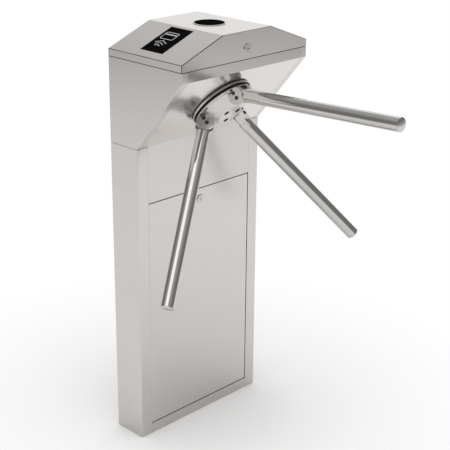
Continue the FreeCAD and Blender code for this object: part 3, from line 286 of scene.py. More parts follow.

# The upright strip above the bend, under the lid, is painted darker as shade: 1 where the sheet faces the
# passage.
strip_shade_share, strip_in, strip_out = new_group(
    "strip_shade_share", [("Facing", "NodeSocketVector", (0, 0, 0))], ["Share"])
outward = add(strip_shade_share, "ShaderNodeSeparateXYZ", {0: strip_in.outputs["Facing"]}).outputs["X"]
upright = ranged(strip_shade_share, outward, 0.0, 1.0, from_low=0.90, from_high=0.98)
strip_shade_share.links.new(upright, strip_out.inputs["Share"])
# The darker tone painted on the upright strip as shade.
painted_strip_shade = (0.68, 0.660, 0.645)
slope_sheet = drawn_metal("slope_sheet", dark=(0.80, 0.775, 0.757), pale=(0.84, 0.815, 0.797),
                          roughness=0.17, spread=0.02, stretch=(700, 9, 700), relief=satin_relief,
                          painted_shade=(strip_shade_share, painted_strip_shade))
dress(head_sheet, "head_front_panel", "head_rear_panel", "head_back_panel")
dress(slope_sheet, "head_slope_panel")
dress(zinc_plate, "head_deck", "strike_bracket")


# Drive inside the head
# A zinc-plated chassis carries a turned bearing housing, the shaft, a cut gear, the index disc and its pawls.
# The damper, the solenoids and the position sensor are bought parts in black housings.

turned_steel = drawn_metal("turned_steel", dark=(0.42, 0.42, 0.42), pale=(0.56, 0.56, 0.56),
                           roughness=0.28, spread=0.06, stretch=(400, 400, 400))
ground_steel = drawn_metal("ground_steel", dark=(0.34, 0.34, 0.35), pale=(0.50, 0.50, 0.50),
                           roughness=0.34, spread=0.05, stretch=(40, 700, 40))
black_housing = moulded("black_housing", dark=(0.016, 0.016, 0.017), pale=(0.030, 0.030, 0.032),
                        roughness=0.45, pebble_scale=1400.0, relief=0.12)
dress(zinc_plate, "chassis_plate")
dress(turned_steel, "bearing_housing", "shaft_bearings", "main_shaft", "shaft_nut", "rear_plunger",
      "front_plunger")
dress(ground_steel, "main_gear", "damper_pinion", "index_disc", "encoder_disc", "rear_pawl", "front_pawl")
dress(black_housing, "damper_body", "solenoids", "position_sensor")


# Electronics in the column
# A green circuit board on studs, a sheet-aluminium power supply and a black terminal block on the back panel.
# The board carries a processor, four drivers, two relays, three capacitors and two rows of terminals.

def rounded_loop(half_x, half_y, radius, steps=6):
    points = []
    for sx, sy, start in ((1, 1, 0.0), (-1, 1, 0.25), (-1, -1, 0.5), (1, -1, 0.75)):
        for k in range(steps + 1):
            angle = (start + 0.25 * k / steps) * math.tau
            points.append((sx * (half_x - radius) + radius * math.cos(angle),
                           sy * (half_y - radius) + radius * math.sin(angle)))
    return points


def add_moulding(bm, place, half_x, half_y, corner, levels):
    # A block with rounded corners: one outline per level, each drawn in by its own inset.
    rings = []
    for inset, level in levels:
        outline = rounded_loop(half_x - inset, half_y - inset, corner, steps=3)
        rings.append([place @ Vector((x, y, level)) for x, y in outline])
    skin(bm, rings)


def shifted(place, x, y, z=0.0):
    return place @ Matrix.Translation((x, y, z))


def spaced(count, pitch):
    # Places along a row, with the row's middle at nought.
    return [(number - (count - 1) / 2) * pitch for number in range(count)]


def add_terminals(blocks, screws, place, ways, pitch, half_height, height):
    # A row of clamps, one block per way, each with its screw in the face.
    half_share, screw_share, socket_share = 0.49, 0.3, 0.14
    edge, bevel, screw_rise, bevel_share = 0.0005, 0.0008, 0.0008, 0.8
    for x in spaced(ways, pitch):
        spot = shifted(place, x, 0.0)
        add_moulding(blocks, spot, pitch * half_share, half_height, edge,
                     ((0, 0), (0, height * bevel_share), (bevel, height)))
        add_socket_screw(screws, shifted(spot, 0, 0, height), pitch * screw_share, screw_rise,
                         pitch * socket_share)


circuit_board, tree, shader, position = new_material("circuit_board")
tracks = add(tree, "ShaderNodeTexVoronoi", {"Vector": position, "Scale": 150.0}, feature="DISTANCE_TO_EDGE")
pads = add(tree, "ShaderNodeTexVoronoi", {"Vector": position, "Scale": 260.0, "Randomness": 0.4})
track_share = ranged(tree, tracks.outputs["Distance"], 1.0, 0.0, from_low=0.03, from_high=0.06)
pad_share = ranged(tree, pads.outputs["Distance"], 1.0, 0.0, from_low=0.16, from_high=0.20)
varnish_green, track_green, pad_gold = (0.012, 0.085, 0.034), (0.030, 0.150, 0.062), (0.52, 0.44, 0.22)
tone = blended(tree, pad_share, blended(tree, track_share, varnish_green, track_green), pad_gold)
tree.links.new(tone, shader.inputs["Base Color"])
tree.links.new(ranged(tree, pad_share, 0.34, 0.22, from_low=0.0, from_high=1.0), shader.inputs["Roughness"])
bump = add(tree, "ShaderNodeBump", {"Height": track_share, "Strength": 0.2, "Distance": 0.0002})
tree.links.new(bump.outputs["Normal"], shader.inputs["Normal"])
supply_case = drawn_metal("supply_case", dark=(0.50, 0.51, 0.52), pale=(0.62, 0.63, 0.64),
                          roughness=0.4, spread=0.05, stretch=(30, 900, 900))
terminal_grey = moulded("terminal_grey", dark=(0.24, 0.25, 0.26), pale=(0.32, 0.33, 0.34),
                        roughness=0.42, pebble_scale=1200.0, relief=0.08)
relay_blue = moulded("relay_blue", dark=(0.012, 0.035, 0.110), pale=(0.018, 0.045, 0.135),
                     roughness=0.32, pebble_scale=1500.0, relief=0.05)
tinned = drawn_metal("tinned", dark=(0.60, 0.60, 0.60), pale=(0.72, 0.72, 0.72),
                     roughness=0.3, spread=0.06, stretch=(300, 300, 300))
dress(circuit_board, "indicator_board")
dress(supply_case, "power_supply")
dress(black_housing, "terminal_block")

# The board stands upright: its own x runs across the column, y upward and z into the column.
board_low, board_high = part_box("control_board")
board_thickness, board_corner, stud_margin = 0.0016, 0.003, 0.008
half_board = Vector(((board_high.y - board_low.y) / 2, (board_high.z - board_low.z) / 2))
wall_turn = Matrix(((0, 0, 1, 0), (1, 0, 0, 0), (0, 1, 0, 0), (0, 0, 0, 1)))
board = Matrix.Translation((board_low.x, 0.0, (board_low.z + board_high.z) / 2)) @ wall_turn
sheet = bmesh.new()
add_moulding(sheet, board, half_board.x, half_board.y, board_corner, ((0, 0), (0, board_thickness)))
board_sheet = placed_mesh("board_sheet", sheet, circuit_board, "cabinet")
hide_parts("control_board")

board_face = shifted(board, 0, 0, board_thickness)
screws, clamps, packages, pins, relays, cans = (bmesh.new() for _ in range(6))
stud_screw = 0.0030, 0.0018, 0.0014
stud_x, stud_y = half_board.x - stud_margin, half_board.y - stud_margin
for side_x in (-1, 1):
    for side_y in (-1, 1):
        add_socket_screw(screws, shifted(board_face, side_x * stud_x, side_y * stud_y), *stud_screw)

# Rows of terminals: the ways of each and its height from the middle of the board.
terminal_rows = ((20, -0.048), (16, 0.058))
terminal_pitch, terminal_half_height, terminal_height = 0.0052, 0.0064, 0.0060
for ways, level in terminal_rows:
    add_terminals(clamps, screws, shifted(board_face, 0, level), ways, terminal_pitch, terminal_half_height,
                  terminal_height)

# The processor, with a row of pins at each edge.
processor = shifted(board_face, -0.035, 0.008)
half_chip, chip_corner = 0.0125, 0.0004
chip_levels = ((0.0004, 0.0004), (0, 0.0015), (0.0005, 0.0028))
pin_count, pin_pitch, pin_out, pin_half_width, pin_corner = 14, 0.0016, 0.0006, 0.0004, 0.0002
long_pin, long_pin_levels = 0.0011, ((0, 0), (0, 0.0009), (0.0001, 0.0012))
add_moulding(packages, processor, half_chip, half_chip, chip_corner, chip_levels)
for quarter in range(4):
    edge = shifted(processor @ Matrix.Rotation(quarter * math.pi / 2, 4, "Z"), half_chip, 0)
    for y in spaced(pin_count, pin_pitch):
        add_moulding(pins, shifted(edge, pin_out, y), long_pin, pin_half_width, pin_corner, long_pin_levels)

# The drivers of the locks and lamps, in small packages with four pins a side.
driver_x, driver_heights = -0.004, (-0.012, 0.0, 0.012, 0.024)
driver_half_x, driver_half_y, driver_corner = 0.0032, 0.0044, 0.0003
driver_levels = ((0, 0.0003), (0.0003, 0.0020))
driver_pins, driver_pin_pitch, driver_pin_x = 4, 0.0020, 0.0038
short_pin, short_pin_levels = 0.0010, ((0, 0), (0.0001, 0.0008))
for level in driver_heights:
    driver = shifted(board_face, driver_x, level)
    add_moulding(packages, driver, driver_half_x, driver_half_y, driver_corner, driver_levels)
    for side_x in (-1, 1):
        for y in spaced(driver_pins, driver_pin_pitch):
            spot = shifted(driver, side_x * driver_pin_x, y)
            add_moulding(pins, spot, short_pin, pin_half_width, pin_corner, short_pin_levels)

# The relays and the capacitors. A capacitor's can has a groove near its foot and a bare disc on top.
relay_x, relay_heights = 0.0315, (0.003, 0.029)
relay_half_x, relay_half_y, relay_corner = 0.0100, 0.0115, 0.0008
relay_levels = ((0.0006, 0.0005), (0, 0.0012), (0, 0.0140), (0.0008, 0.0150))
for level in relay_heights:
    relay = shifted(board_face, relay_x, level)
    add_moulding(relays, relay, relay_half_x, relay_half_y, relay_corner, relay_levels)
can_x, can_heights = 0.0115, (-0.024, 0.006, 0.034)
can_profile = ((0.0050, 0.0), (0.0050, 0.0015), (0.0046, 0.0022), (0.0050, 0.0030), (0.0050, 0.0112),
               (0.0044, 0.0120))
can_disc = ((0.0042, 0.0119), (0.0042, 0.0122), (0.0036, 0.0122))
for level in can_heights:
    can = shifted(board_face, can_x, level)
    skin(cans, [circle(can, radius, height) for radius, height in can_profile])
    skin(pins, [circle(can, radius, height) for radius, height in can_disc])

# The terminal block: a sunk screw for each way, and thin fins between the ways.
block_low, block_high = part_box("terminal_block")
block_ways, recess, fin_rise, fin_spread = 9, 0.0020, 0.0040, 0.985
well_share, well_fill, well_socket = 0.23, 0.8, 0.10
fin_half, fin_corner, fin_taper = 0.0008, 0.0004, 0.0002
half_block = (block_high.z - block_low.z) / 2
block_pitch = (block_high.y - block_low.y) / block_ways
block_face = Matrix.Translation((block_high.x, 0.0, (block_low.z + block_high.z) / 2)) @ wall_turn
for x in spaced(block_ways, block_pitch):
    spot = shifted(block_face, x, 0.0, -recess)
    add_socket_screw(screws, spot, block_pitch * well_share, recess * well_fill, block_pitch * well_socket)
for x in spaced(block_ways + 1, block_pitch * fin_spread):
    add_moulding(packages, shifted(block_face, x, 0.0), fin_half, half_block, fin_corner,
                 ((0, 0), (fin_taper, fin_rise)))

# The power supply: a row of terminals along its foot and four screws in its cover.
supply_low, supply_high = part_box("power_supply")
supply_face = Matrix.Translation((supply_high.x, 0.0, supply_low.z)) @ wall_turn
supply_row, supply_ways, supply_pitch, supply_half_height, supply_rise = 0.011, 9, 0.0096, 0.0070, 0.0070
add_terminals(packages, screws, shifted(supply_face, 0, supply_row), supply_ways, supply_pitch,
              supply_half_height, supply_rise)
cover_screw, cover_screw_x, cover_screw_heights = (0.0032, 0.0016, 0.0014), 0.047, (0.026, 0.130)
for side_x in (-1, 1):
    for level in cover_screw_heights:
        add_socket_screw(screws, shifted(supply_face, side_x * cover_screw_x, level), *cover_screw)

placed_mesh("clamp_screws", screws, screw_metal, "cabinet")
placed_mesh("board_terminals", clamps, terminal_grey, "cabinet")
placed_mesh("board_packages", packages, black_housing, "cabinet")
placed_mesh("board_pins", pins, tinned, "cabinet")
placed_mesh("board_relays", relays, relay_blue, "cabinet")
placed_mesh("board_capacitors", cans, black_housing, "cabinet")


# Access door
# A tray of the same satin sheet, folded on all four edges, on two hidden pivot pins at its rear edge.
# A nickel-plated cam lock near the top holds it shut.

lock_nickel = drawn_metal("lock_nickel", dark=(0.62, 0.61, 0.60), pale=(0.74, 0.73, 0.72),
                          roughness=0.16, spread=0.04, stretch=(500, 500, 500))
dress(column_sheet, "access_door")
dress(zinc_plate, "door_pivot_pins", "door_lock_cam")
dress(lock_nickel, "door_lock_housing", "door_lock_plug")


# Lid
# One satin sheet folded to a front slope, a flat top and a rear slope, with a welded plate at each gable.
# Thin dark lines of painted shade run along the welded corners and the folds above the lip.

# Painted shade on the fold and weld lines: 1 on the narrow rounds between the slopes, the lip and the gables,
# 0 on the flats.
# Each limit is how far the round faces sideways or outward where its line starts and where it is full.
fold_shade_share, fold_in, fold_out = new_group(
    "fold_shade_share", [("Facing", "NodeSocketVector", (0, 0, 0))], ["Share"])
ways = add(fold_shade_share, "ShaderNodeSeparateXYZ", {0: fold_in.outputs["Facing"]})
sideways = combined(fold_shade_share, "ABSOLUTE", ways.outputs["Y"], 0.0)
outward = combined(fold_shade_share, "ABSOLUTE", ways.outputs["X"], 0.0)
off_slope = ranged(fold_shade_share, outward, 0.0, 1.0, from_low=0.06, from_high=0.20)
off_gable = ranged(fold_shade_share, outward, 0.0, 1.0, from_low=0.99, from_high=0.93)
off_top = ranged(fold_shade_share, sideways, 0.0, 1.0, from_low=0.02, from_high=0.05)
above_lip = ranged(fold_shade_share, sideways, 0.0, 1.0, from_low=0.38, from_high=0.48)
off_lip = ranged(fold_shade_share, sideways, 0.0, 1.0, from_low=0.99, from_high=0.93)
weld = combined(fold_shade_share, "MULTIPLY", combined(fold_shade_share, "MULTIPLY", off_slope, off_gable), off_top)
fold = combined(fold_shade_share, "MULTIPLY", above_lip, off_lip)
fold_shade_share.links.new(combined(fold_shade_share, "MAXIMUM", weld, fold), fold_out.inputs["Share"])
# The near-black tone of the painted shade on these lines.
painted_fold_shade = (0.10, 0.10, 0.10)
lid_sheet = drawn_metal("lid_sheet", satin_dark, satin_pale, roughness=0.26, spread=0.02,
                        stretch=(9, 700, 700), relief=satin_relief, painted_shade=(fold_shade_share, painted_fold_shade))
dress(lid_sheet, "lid_shell")
dress(zinc_plate, "lid_lock_cam")
dress(lock_nickel, "lid_lock_housing", "lid_lock_plug")


# Seal under the lid
# A black rubber edge strip that fills the seam between the head and the lid.
# It is pushed on the upper edge of the head sheets and goes all the way round.

lid_low, lid_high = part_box("lid_shell")
seam_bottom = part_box("head_front_panel")[1].z
strip_inset, strip_width, strip_air, strip_corner = 0.0006, 0.0013, 0.0002, 0.0024
middle = Vector(((lid_low.x + lid_high.x) / 2, (lid_low.y + lid_high.y) / 2, 0.0))
half_x, half_y = (lid_high.x - lid_low.x) / 2, (lid_high.y - lid_low.y) / 2
seam_top = lid_low.z - strip_air
strip_section = ((strip_inset, seam_bottom), (strip_inset, seam_top),
                 (strip_inset + strip_width, seam_top), (strip_inset + strip_width, seam_bottom))
seal = bmesh.new()
loops = []
for inset, z in strip_section:
    loops.append([seal.verts.new(middle + Vector((x, y, z)))
                  for x, y in rounded_loop(half_x - inset, half_y - inset, strip_corner - inset)])
count = len(loops[0])
for low, high in zip(loops, loops[1:] + loops[:1]):
    for k in range(count):
        seal.faces.new((low[k], low[(k + 1) % count], high[(k + 1) % count], high[k]))
placed_mesh("lid_seal", seal, black_rubber, "cabinet")


# Lid hinges
# Two zinc-plated butt hinges behind the head, which let the lid tip back.
# One leaf of each is held to the head and the other to the lid, by low socket screws.

leaf_screw, screw_from_edge = (0.0036, 0.0014, 0.0016), 0.011
hinge_places, screw_steps, leaf_face = (-0.110, 0.110), (-0.020, 0.0, 0.020), -0.046
dress(zinc_plate, "lid_hinge_fixed_leaves", "lid_hinge_moving_leaves", "lid_hinge_pins")
for node, body in (("lid_hinge_fixed_leaves", "cabinet"), ("lid_hinge_moving_leaves", "lid")):
    leaf_low, leaf_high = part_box(node)
    level = leaf_low.z + screw_from_edge if body == "cabinet" else leaf_high.z - screw_from_edge
    screws = bmesh.new()
    for centre in hinge_places:
        for step in screw_steps:
            add_socket_screw(screws, facing((leaf_face, centre + step, level), backward), *leaf_screw)
    placed_mesh(node.replace("leaves", "screws"), screws, screw_metal, body)


# Card reader
# A pane of gloss black acrylic in the front slope of the lid, with a simple card sign in pale ink.
# The reader itself is a black moulded box behind the pane, with stiffening ribs and a plug socket.

gloss_pane, tree, shader, position = new_material("gloss_pane")
smears = add(tree, "ShaderNodeTexNoise", {"Vector": position, "Scale": 30.0, "Detail": 3.0})
tree.links.new(ranged(tree, smears.outputs["Fac"], 0.05, 0.11), shader.inputs["Roughness"])
tree.links.new(blended(tree, smears.outputs["Fac"], (0.003, 0.003, 0.003), (0.006, 0.006, 0.006)),
               shader.inputs["Base Color"])
shader.inputs["Specular IOR Level"].default_value = 0.0
dress(gloss_pane, "reader_window")
dress(black_housing, "reader_module")

lid_rise, slope_run, pane_y = 0.046, 0.120, -0.127
tilt = math.atan2(lid_rise, slope_run)
pane_z = lid_high.z - lid_rise + (pane_y + half_y) * math.tan(tilt)
pane = Matrix.Translation((middle.x, pane_y, pane_z)) @ Matrix.Rotation(tilt, 4, "X")

reader_back, rib_count, rib_pitch, first_rib = 0.020, 7, 0.009, -0.018
rib_half_length, rib_half_width, rib_corner, rib_levels = 0.024, 0.0016, 0.0008, ((0, 0), (0.0004, 0.0012))
back_face = shifted(pane, 0, 0, -reader_back) @ Matrix.Rotation(math.pi, 4, "X")
ribs, sockets, contacts = bmesh.new(), bmesh.new(), bmesh.new()
for rib in range(rib_count):
    spot = shifted(back_face, 0, first_rib + rib * rib_pitch)
    add_moulding(ribs, spot, rib_half_length, rib_half_width, rib_corner, rib_levels)
placed_mesh("reader_ribs", ribs, black_housing, "lid")


def add_plug_socket(place, half_length, half_width, height, ways, contact_rise):
    # A grey socket for a plug, with a row of tinned contacts on it.
    bevel, contact_pitch, contact_half, contact_corner = 0.0004, 0.0025, 0.0004, 0.0001
    levels = ((0, 0), (0, height - bevel), (bevel, height))
    add_moulding(sockets, place, half_length, half_width, bevel, levels)
    for x in spaced(ways, contact_pitch):
        add_moulding(contacts, shifted(place, x, 0, height), contact_half, contact_half, contact_corner,
                     ((0, 0), (contact_corner, contact_rise)))


add_plug_socket(shifted(back_face, 0, -0.031), half_length=0.0090, half_width=0.0035, height=0.0066, ways=6,
                contact_rise=0.0022)


def add_stroke(bm, points, width, closed=False):
    # An inked line of even width through the points, on the pane.
    pane_proud, ink_height, least_turn = 0.0004, 0.00006, 0.3
    count = len(points)
    corners = []
    for k in range(count):
        before = Vector(points[k - 1] if k or closed else points[0])
        after = Vector(points[(k + 1) % count] if k < count - 1 or closed else points[-1])
        here = Vector(points[k])
        first = (here - before).normalized() if (here - before).length else (after - here).normalized()
        second = (after - here).normalized() if (after - here).length else first
        along = (first + second).normalized()
        across = Vector((-along.y, along.x)) * (width / 2 / max(least_turn, along.dot(first)))
        corners.append([[bm.verts.new(pane @ Vector((edge.x, edge.y, pane_proud + height)))
                         for height in (0.0, ink_height)] for edge in (here + across, here - across)])
    last = count if closed else count - 1
    for k in range(last):
        (a0, a1), (b0, b1) = corners[k]
        (c0, c1), (d0, d1) = corners[(k + 1) % count]
        bm.faces.new((a1, b1, d1, c1))
        bm.faces.new((a0, c0, d0, b0))
        bm.faces.new((a0, a1, c1, c0))
        bm.faces.new((b0, d0, d1, b1))
    if not closed:
        for (a0, a1), (b0, b1) in (corners[0], corners[-1]):
            bm.faces.new((a0, b0, b1, a1))


# The sign: a card with a stripe, and three chevrons that shrink away from it.
pale_ink, tree, shader, position = new_material("pale_ink")
screen_print = add(tree, "ShaderNodeTexNoise", {"Vector": position, "Scale": 900.0, "Detail": 1.0})
tree.links.new(blended(tree, screen_print.outputs["Fac"], (0.40, 0.40, 0.39), (0.54, 0.54, 0.53)),
               shader.inputs["Base Color"])
shader.inputs["Roughness"].default_value = 0.5
ink_line = 0.0020
card_x, card_y, card_half_w, card_half_h, card_corner, stripe_up = -0.006, 0.015, 0.019, 0.013, 0.004, 0.005
chevrons, chevron_gap, chevron_pitch, chevron_half, chevron_shrink = 3, 0.007, 0.0085, 0.017, 0.0045
sign = bmesh.new()
card = [(card_x + x, card_y + y) for x, y in rounded_loop(card_half_w, card_half_h, card_corner)]
add_stroke(sign, card, ink_line, closed=True)
stripe = [(card_x + side * (card_half_w - ink_line), card_y + stripe_up) for side in (-1, 1)]
add_stroke(sign, stripe, 2 * ink_line)
for step in range(chevrons):
    tip = card_y - card_half_h - chevron_gap - chevron_pitch * step
    half = chevron_half - chevron_shrink * step
    foot = tip - half / 2
    add_stroke(sign, [(card_x - half, foot), (card_x, tip), (card_x + half, foot)], ink_line)
placed_mesh("card_sign", sign, pale_ink, "lid")


# Indicator
# A round gloss black lens in the flat top of the lid, with a thin bright ring round it.
# Its lamp board is clipped in below, with a ring of lamp drivers, a controller and a plug socket underneath.

bright_ring = drawn_metal("bright_ring", dark=(0.74, 0.73, 0.72), pale=(0.84, 0.83, 0.82),
                          roughness=0.2, spread=0.03, stretch=(500, 500, 500))
dress(gloss_pane, "indicator_lens")
dress(bright_ring, "indicator_bezel")

lamp_low, lamp_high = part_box("indicator_board")
lamp_back = facing(((lamp_low.x + lamp_high.x) / 2, 0.0, lamp_low.z), (0, 0, -1))
lamp_count, lamp_ring = 12, 0.023
lamp_half_x, lamp_half_y, lamp_corner, lamp_levels = 0.0016, 0.0025, 0.0003, ((0, 0), (0.0003, 0.0014))
tab_y, tab_half_x, tab_half_y, tab_corner = 0.0029, 0.0014, 0.0006, 0.0002
tab_levels = ((0, 0), (0.0002, 0.0008))
controller_half, controller_levels = 0.0052, ((0.0003, 0.0003), (0, 0.0010), (0.0004, 0.0018))
drivers = bmesh.new()
for number in range(lamp_count):
    spot = shifted(lamp_back @ Matrix.Rotation(number * math.tau / lamp_count, 4, "Z"), lamp_ring, 0)
    add_moulding(drivers, spot, lamp_half_x, lamp_half_y, lamp_corner, lamp_levels)
    for side_y in (-1, 1):
        tab = shifted(spot, 0, side_y * tab_y)
        add_moulding(contacts, tab, tab_half_x, tab_half_y, tab_corner, tab_levels)
add_moulding(drivers, lamp_back, controller_half, controller_half, lamp_corner, controller_levels)
add_plug_socket(shifted(lamp_back, 0, -0.0135), half_length=0.0065, half_width=0.0030, height=0.0060, ways=4,
                contact_rise=0.0020)
placed_mesh("lamp_drivers", drivers, black_housing, "lid")
placed_mesh("lid_sockets", sockets, terminal_grey, "lid")
placed_mesh("lid_contacts", contacts, tinned, "lid")


# Rotor on the slope
# A polished collar and a black lip seal on the sheet, then the turned rotor disc and the machined hub.
# Three socket-head bolts in counterbores hold the hub through the disc to the shaft.

polished_collar = drawn_metal("polished_collar", dark=(0.66, 0.65, 0.64), pale=(0.74, 0.73, 0.72),
                              roughness=0.12, spread=0.03, stretch=(500, 500, 500))
hub_satin = drawn_metal("hub_satin", dark=(0.68, 0.665, 0.65), pale=(0.78, 0.765, 0.75),
                        roughness=0.24, spread=0.04, stretch=(500, 500, 500))
black_oxide = drawn_metal("black_oxide", dark=(0.020, 0.020, 0.021), pale=(0.045, 0.045, 0.046),
                          roughness=0.38, spread=0.06, stretch=(400, 400, 400))
dress(polished_collar, "collar_ring")
dress(black_rubber, "seal_ring")
dress(hub_satin, "rotor_disc", "hub_body")
dress(black_oxide, "hub_bolts")


# Arms
# Three polished stainless tubes on flat tongues, each bolted between the cheeks of its fork.
# The bolts have low dark button heads with a hexagon socket.
# A domed cap is pressed into the end of each tube.

tube_dark, tube_pale = (0.66, 0.65, 0.635), (0.74, 0.73, 0.715)
polished_tube = drawn_metal("polished_tube", tube_dark, tube_pale, roughness=0.11, spread=0.03,
                            stretch=(500, 500, 500))
cap_polish = drawn_metal("cap_polish", tube_dark, tube_pale, roughness=0.13, spread=0.03,
                         stretch=(500, 500, 500))
bolt_grey = drawn_metal("bolt_grey", dark=(0.075, 0.075, 0.076), pale=(0.115, 0.115, 0.118),
                        roughness=0.4, spread=0.05, stretch=(400, 400, 400))
dress(polished_tube, "arm_1", "arm_2", "arm_3")

spin = next(joint for joint in frame["joints"] if joint["name"] == "rotor_spin")
axis_place, axis_out, across = Vector(spin["pos_m"]), Vector(spin["axis"]), Vector((0, 1, 0))
axis_up = axis_out.cross(across)
arm_count, arm_angle, apex_depth, tube_end = 3, math.radians(42.8), 0.042, 0.519
bolt_reach, bolt_rises, cheek_outer = 0.0596, (0.0156, 0.0286), 0.0170
cheek_bolt = 0.0046, 0.0025, 0.0022
cap_radius, cap_groove, cap_rim, cap_rise, cap_rings, cap_sides = 0.0150, 0.0004, 0.0012, 0.0028, 8, 48
dome_radius = (cap_radius ** 2 + cap_rise ** 2) / (2 * cap_rise)
cap_neck = cap_radius - cap_groove
cap_profile = [(cap_neck, 0.0), (cap_neck, cap_groove), (cap_radius, cap_groove)]
for ring in range(cap_rings):
    reach = cap_radius * (1 - ring / cap_rings)
    drop = dome_radius - math.sqrt(dome_radius ** 2 - reach ** 2)
    cap_profile.append((reach, cap_rim + cap_rise - drop))
bolts, caps = bmesh.new(), bmesh.new()
for number in range(arm_count):
    angle = math.tau * number / arm_count
    radial = axis_up * math.cos(angle) + across * math.sin(angle)
    side = across * math.cos(angle) - axis_up * math.sin(angle)
    for rise in bolt_rises:
        for outward in (side, -side):
            head = axis_place + radial * bolt_reach + axis_out * rise + outward * cheek_outer
            add_socket_screw(bolts, facing(head, outward), *cheek_bolt)
    along = radial * math.sin(arm_angle) + axis_out * math.cos(arm_angle)
    seat = facing(axis_place - axis_out * apex_depth + along * tube_end, along)
    skin(caps, [circle(seat, reach, level, cap_sides) for reach, level in cap_profile])
arm_bolts = placed_mesh("arm_bolt_heads", bolts, bolt_grey, "rotor")
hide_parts("arm_bolts")
arm_caps = placed_mesh("arm_domed_caps", caps, cap_polish, "rotor")
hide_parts("arm_end_caps")


# Floor
# A plain matt studio floor, pale under the object, where it shows the soft shadow, and white farther off.
# The camera sees one even paint. The light and the sheet metal see a painted pool of light on it instead:
# brighter to the rear, with painted shade at the foot and far away.

floor_half, floor_drop = 30.0, 0.0005
floor_mesh = bmesh.new()
bmesh.ops.create_grid(floor_mesh, x_segments=1, y_segments=1, size=floor_half)
mesh = bpy.data.meshes.new("floor")
floor_mesh.to_mesh(mesh)
floor_mesh.free()
floor = bpy.data.objects.new("floor", mesh)
bpy.context.scene.collection.objects.link(floor)
floor.location.z = -floor_drop
floor_paint_and_painted_pool, tree, shader, position = new_material("floor_paint_and_painted_pool")
# Painted light for all but the camera: a pool brighter to the rear, with a painted shadow at the foot and
# painted shade far off.
seen_paint, painted_front_light, painted_rear_light = (0.97, 0.97, 0.97), (0.83, 0.825, 0.82), (0.93, 0.925, 0.92)
painted_foot_shadow, painted_far_shade = (0.70, 0.70, 0.70), (0.38, 0.38, 0.38)
reach = add(tree, "ShaderNodeVectorMath", {0: position}, operation="LENGTH").outputs["Value"]
rearward = add(tree, "ShaderNodeSeparateXYZ", {0: position}).outputs["Y"]
white_share = ranged(tree, reach, 0.0, 1.0, from_low=0.22, from_high=0.85)
rear_light_share = ranged(tree, rearward, 0.0, 1.0, from_low=0.2, from_high=1.0)
foot_shadow_share = ranged(tree, reach, 0.0, 1.0, from_low=0.42, from_high=0.1)
far_shade_share = ranged(tree, reach, 0.0, 1.0, from_low=3.0, from_high=5.3)
# The painted pool of light, then its painted shadow at the foot and its painted shade far off.
painted_light_pool = blended(tree, rear_light_share, painted_front_light, painted_rear_light)
painted_light_pool = blended(tree, foot_shadow_share, painted_light_pool, painted_foot_shadow)
painted_light_pool = blended(tree, far_shade_share, painted_light_pool, painted_far_shade)
path = add(tree, "ShaderNodeLightPath")
tone = blended(tree, path.outputs["Is Camera Ray"], painted_light_pool, seen_paint)
tree.links.new(tone, shader.inputs["Base Color"])
shader.inputs["Roughness"].default_value = 0.8
shader.inputs["Specular IOR Level"].default_value = 0.0
white = add(tree, "ShaderNodeEmission", {"Color": (1, 1, 1, 1), "Strength": 1.0})
shown = combined(tree, "MULTIPLY", path.outputs["Is Camera Ray"], white_share)
mixed = add(tree, "ShaderNodeMixShader", {0: shown, 1: shader.outputs["BSDF"], 2: white.outputs["Emission"]})
tree.links.new(mixed.outputs[0], tree.nodes["Material Output"].inputs["Surface"])
mesh.materials.append(floor_paint_and_painted_pool)


# Studio
# A plain pale room with a white screen behind the object, and one soft lamp overhead.
# The polished metal sees a dimmer room and the screen, and the camera sees plain white.

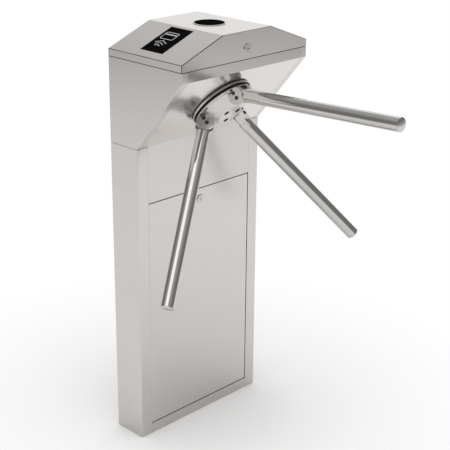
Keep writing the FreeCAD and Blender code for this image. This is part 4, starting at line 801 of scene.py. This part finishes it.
room_light, screen_light, camera_white = 0.90, 0.95, 1.0
wall_seen, ceiling_seen = 0.20, 0.46
screen_way = (-0.60, 0.74, 0.32)
world = bpy.data.worlds.new("studio")
bpy.context.scene.world = world
world.use_nodes = True
tree = world.node_tree
toward = add(tree, "ShaderNodeTexCoord").outputs["Generated"]
upward = add(tree, "ShaderNodeSeparateXYZ", {0: toward}).outputs["Z"]
room = ranged(tree, upward, wall_seen, ceiling_seen, from_low=0.45, from_high=0.80)
aimed = add(tree, "ShaderNodeVectorMath", {0: toward, 1: screen_way}, operation="DOT_PRODUCT")
screen_share = ranged(tree, aimed.outputs["Value"], 0.0, 1.0, from_low=0.82, from_high=0.95)
mirrored = add(tree, "ShaderNodeMix", {0: screen_share, 2: room, 3: screen_light},
               data_type="FLOAT").outputs[0]
path = add(tree, "ShaderNodeLightPath")
by_mirror = combined(tree, "MAXIMUM", path.outputs["Is Glossy Ray"], path.outputs["Is Transmission Ray"])
studio = add(tree, "ShaderNodeMix", {0: by_mirror, 2: room_light, 3: mirrored}, data_type="FLOAT").outputs[0]
strength = add(tree, "ShaderNodeMix", {0: path.outputs["Is Camera Ray"], 2: studio, 3: camera_white},
               data_type="FLOAT").outputs[0]
tree.links.new(strength, tree.nodes["Background"].inputs["Strength"])
tree.nodes["Background"].inputs["Color"].default_value = (1.0, 0.995, 0.99, 1.0)

lamp = bpy.data.lights.new("overhead_lamp", "AREA")
lamp.shape = "RECTANGLE"
lamp.size, lamp.size_y = 2.0, 2.0
lamp.energy = 10.5
lamp_holder = bpy.data.objects.new("overhead_lamp", lamp)
bpy.context.scene.collection.objects.link(lamp_holder)
lamp_place, lamp_aim = Vector((0.6, -1.3, 2.9)), Vector((0.2, 0.0, 0.6))
lamp_holder.location = lamp_place
lamp_holder.rotation_euler = (lamp_aim - lamp_place).to_track_quat("-Z", "Y").to_euler()


# Camera
# The camera of the photograph, whose place, turn and lens were fitted to the edges of the cabinet.
# It stands a little above the lid and looks down on the front corner of the passage side.

camera_data = bpy.data.cameras.new("photo_camera")
camera = bpy.data.objects.new("photo_camera", camera_data)
bpy.context.scene.collection.objects.link(camera)
bpy.context.scene.camera = camera
camera_data.lens = 92.18
camera.location = (1.8648, -1.7766, 1.4739)
camera_yaw, camera_pitch, camera_roll = math.radians(44.389), math.radians(21.024), math.radians(0.514)
level_view = Euler((math.pi / 2 - camera_pitch, 0.0, camera_yaw)).to_matrix()
camera.rotation_euler = (level_view @ Matrix.Rotation(camera_roll, 3, "Z")).to_euler()
bpy.context.scene.view_settings.view_transform = "Standard"
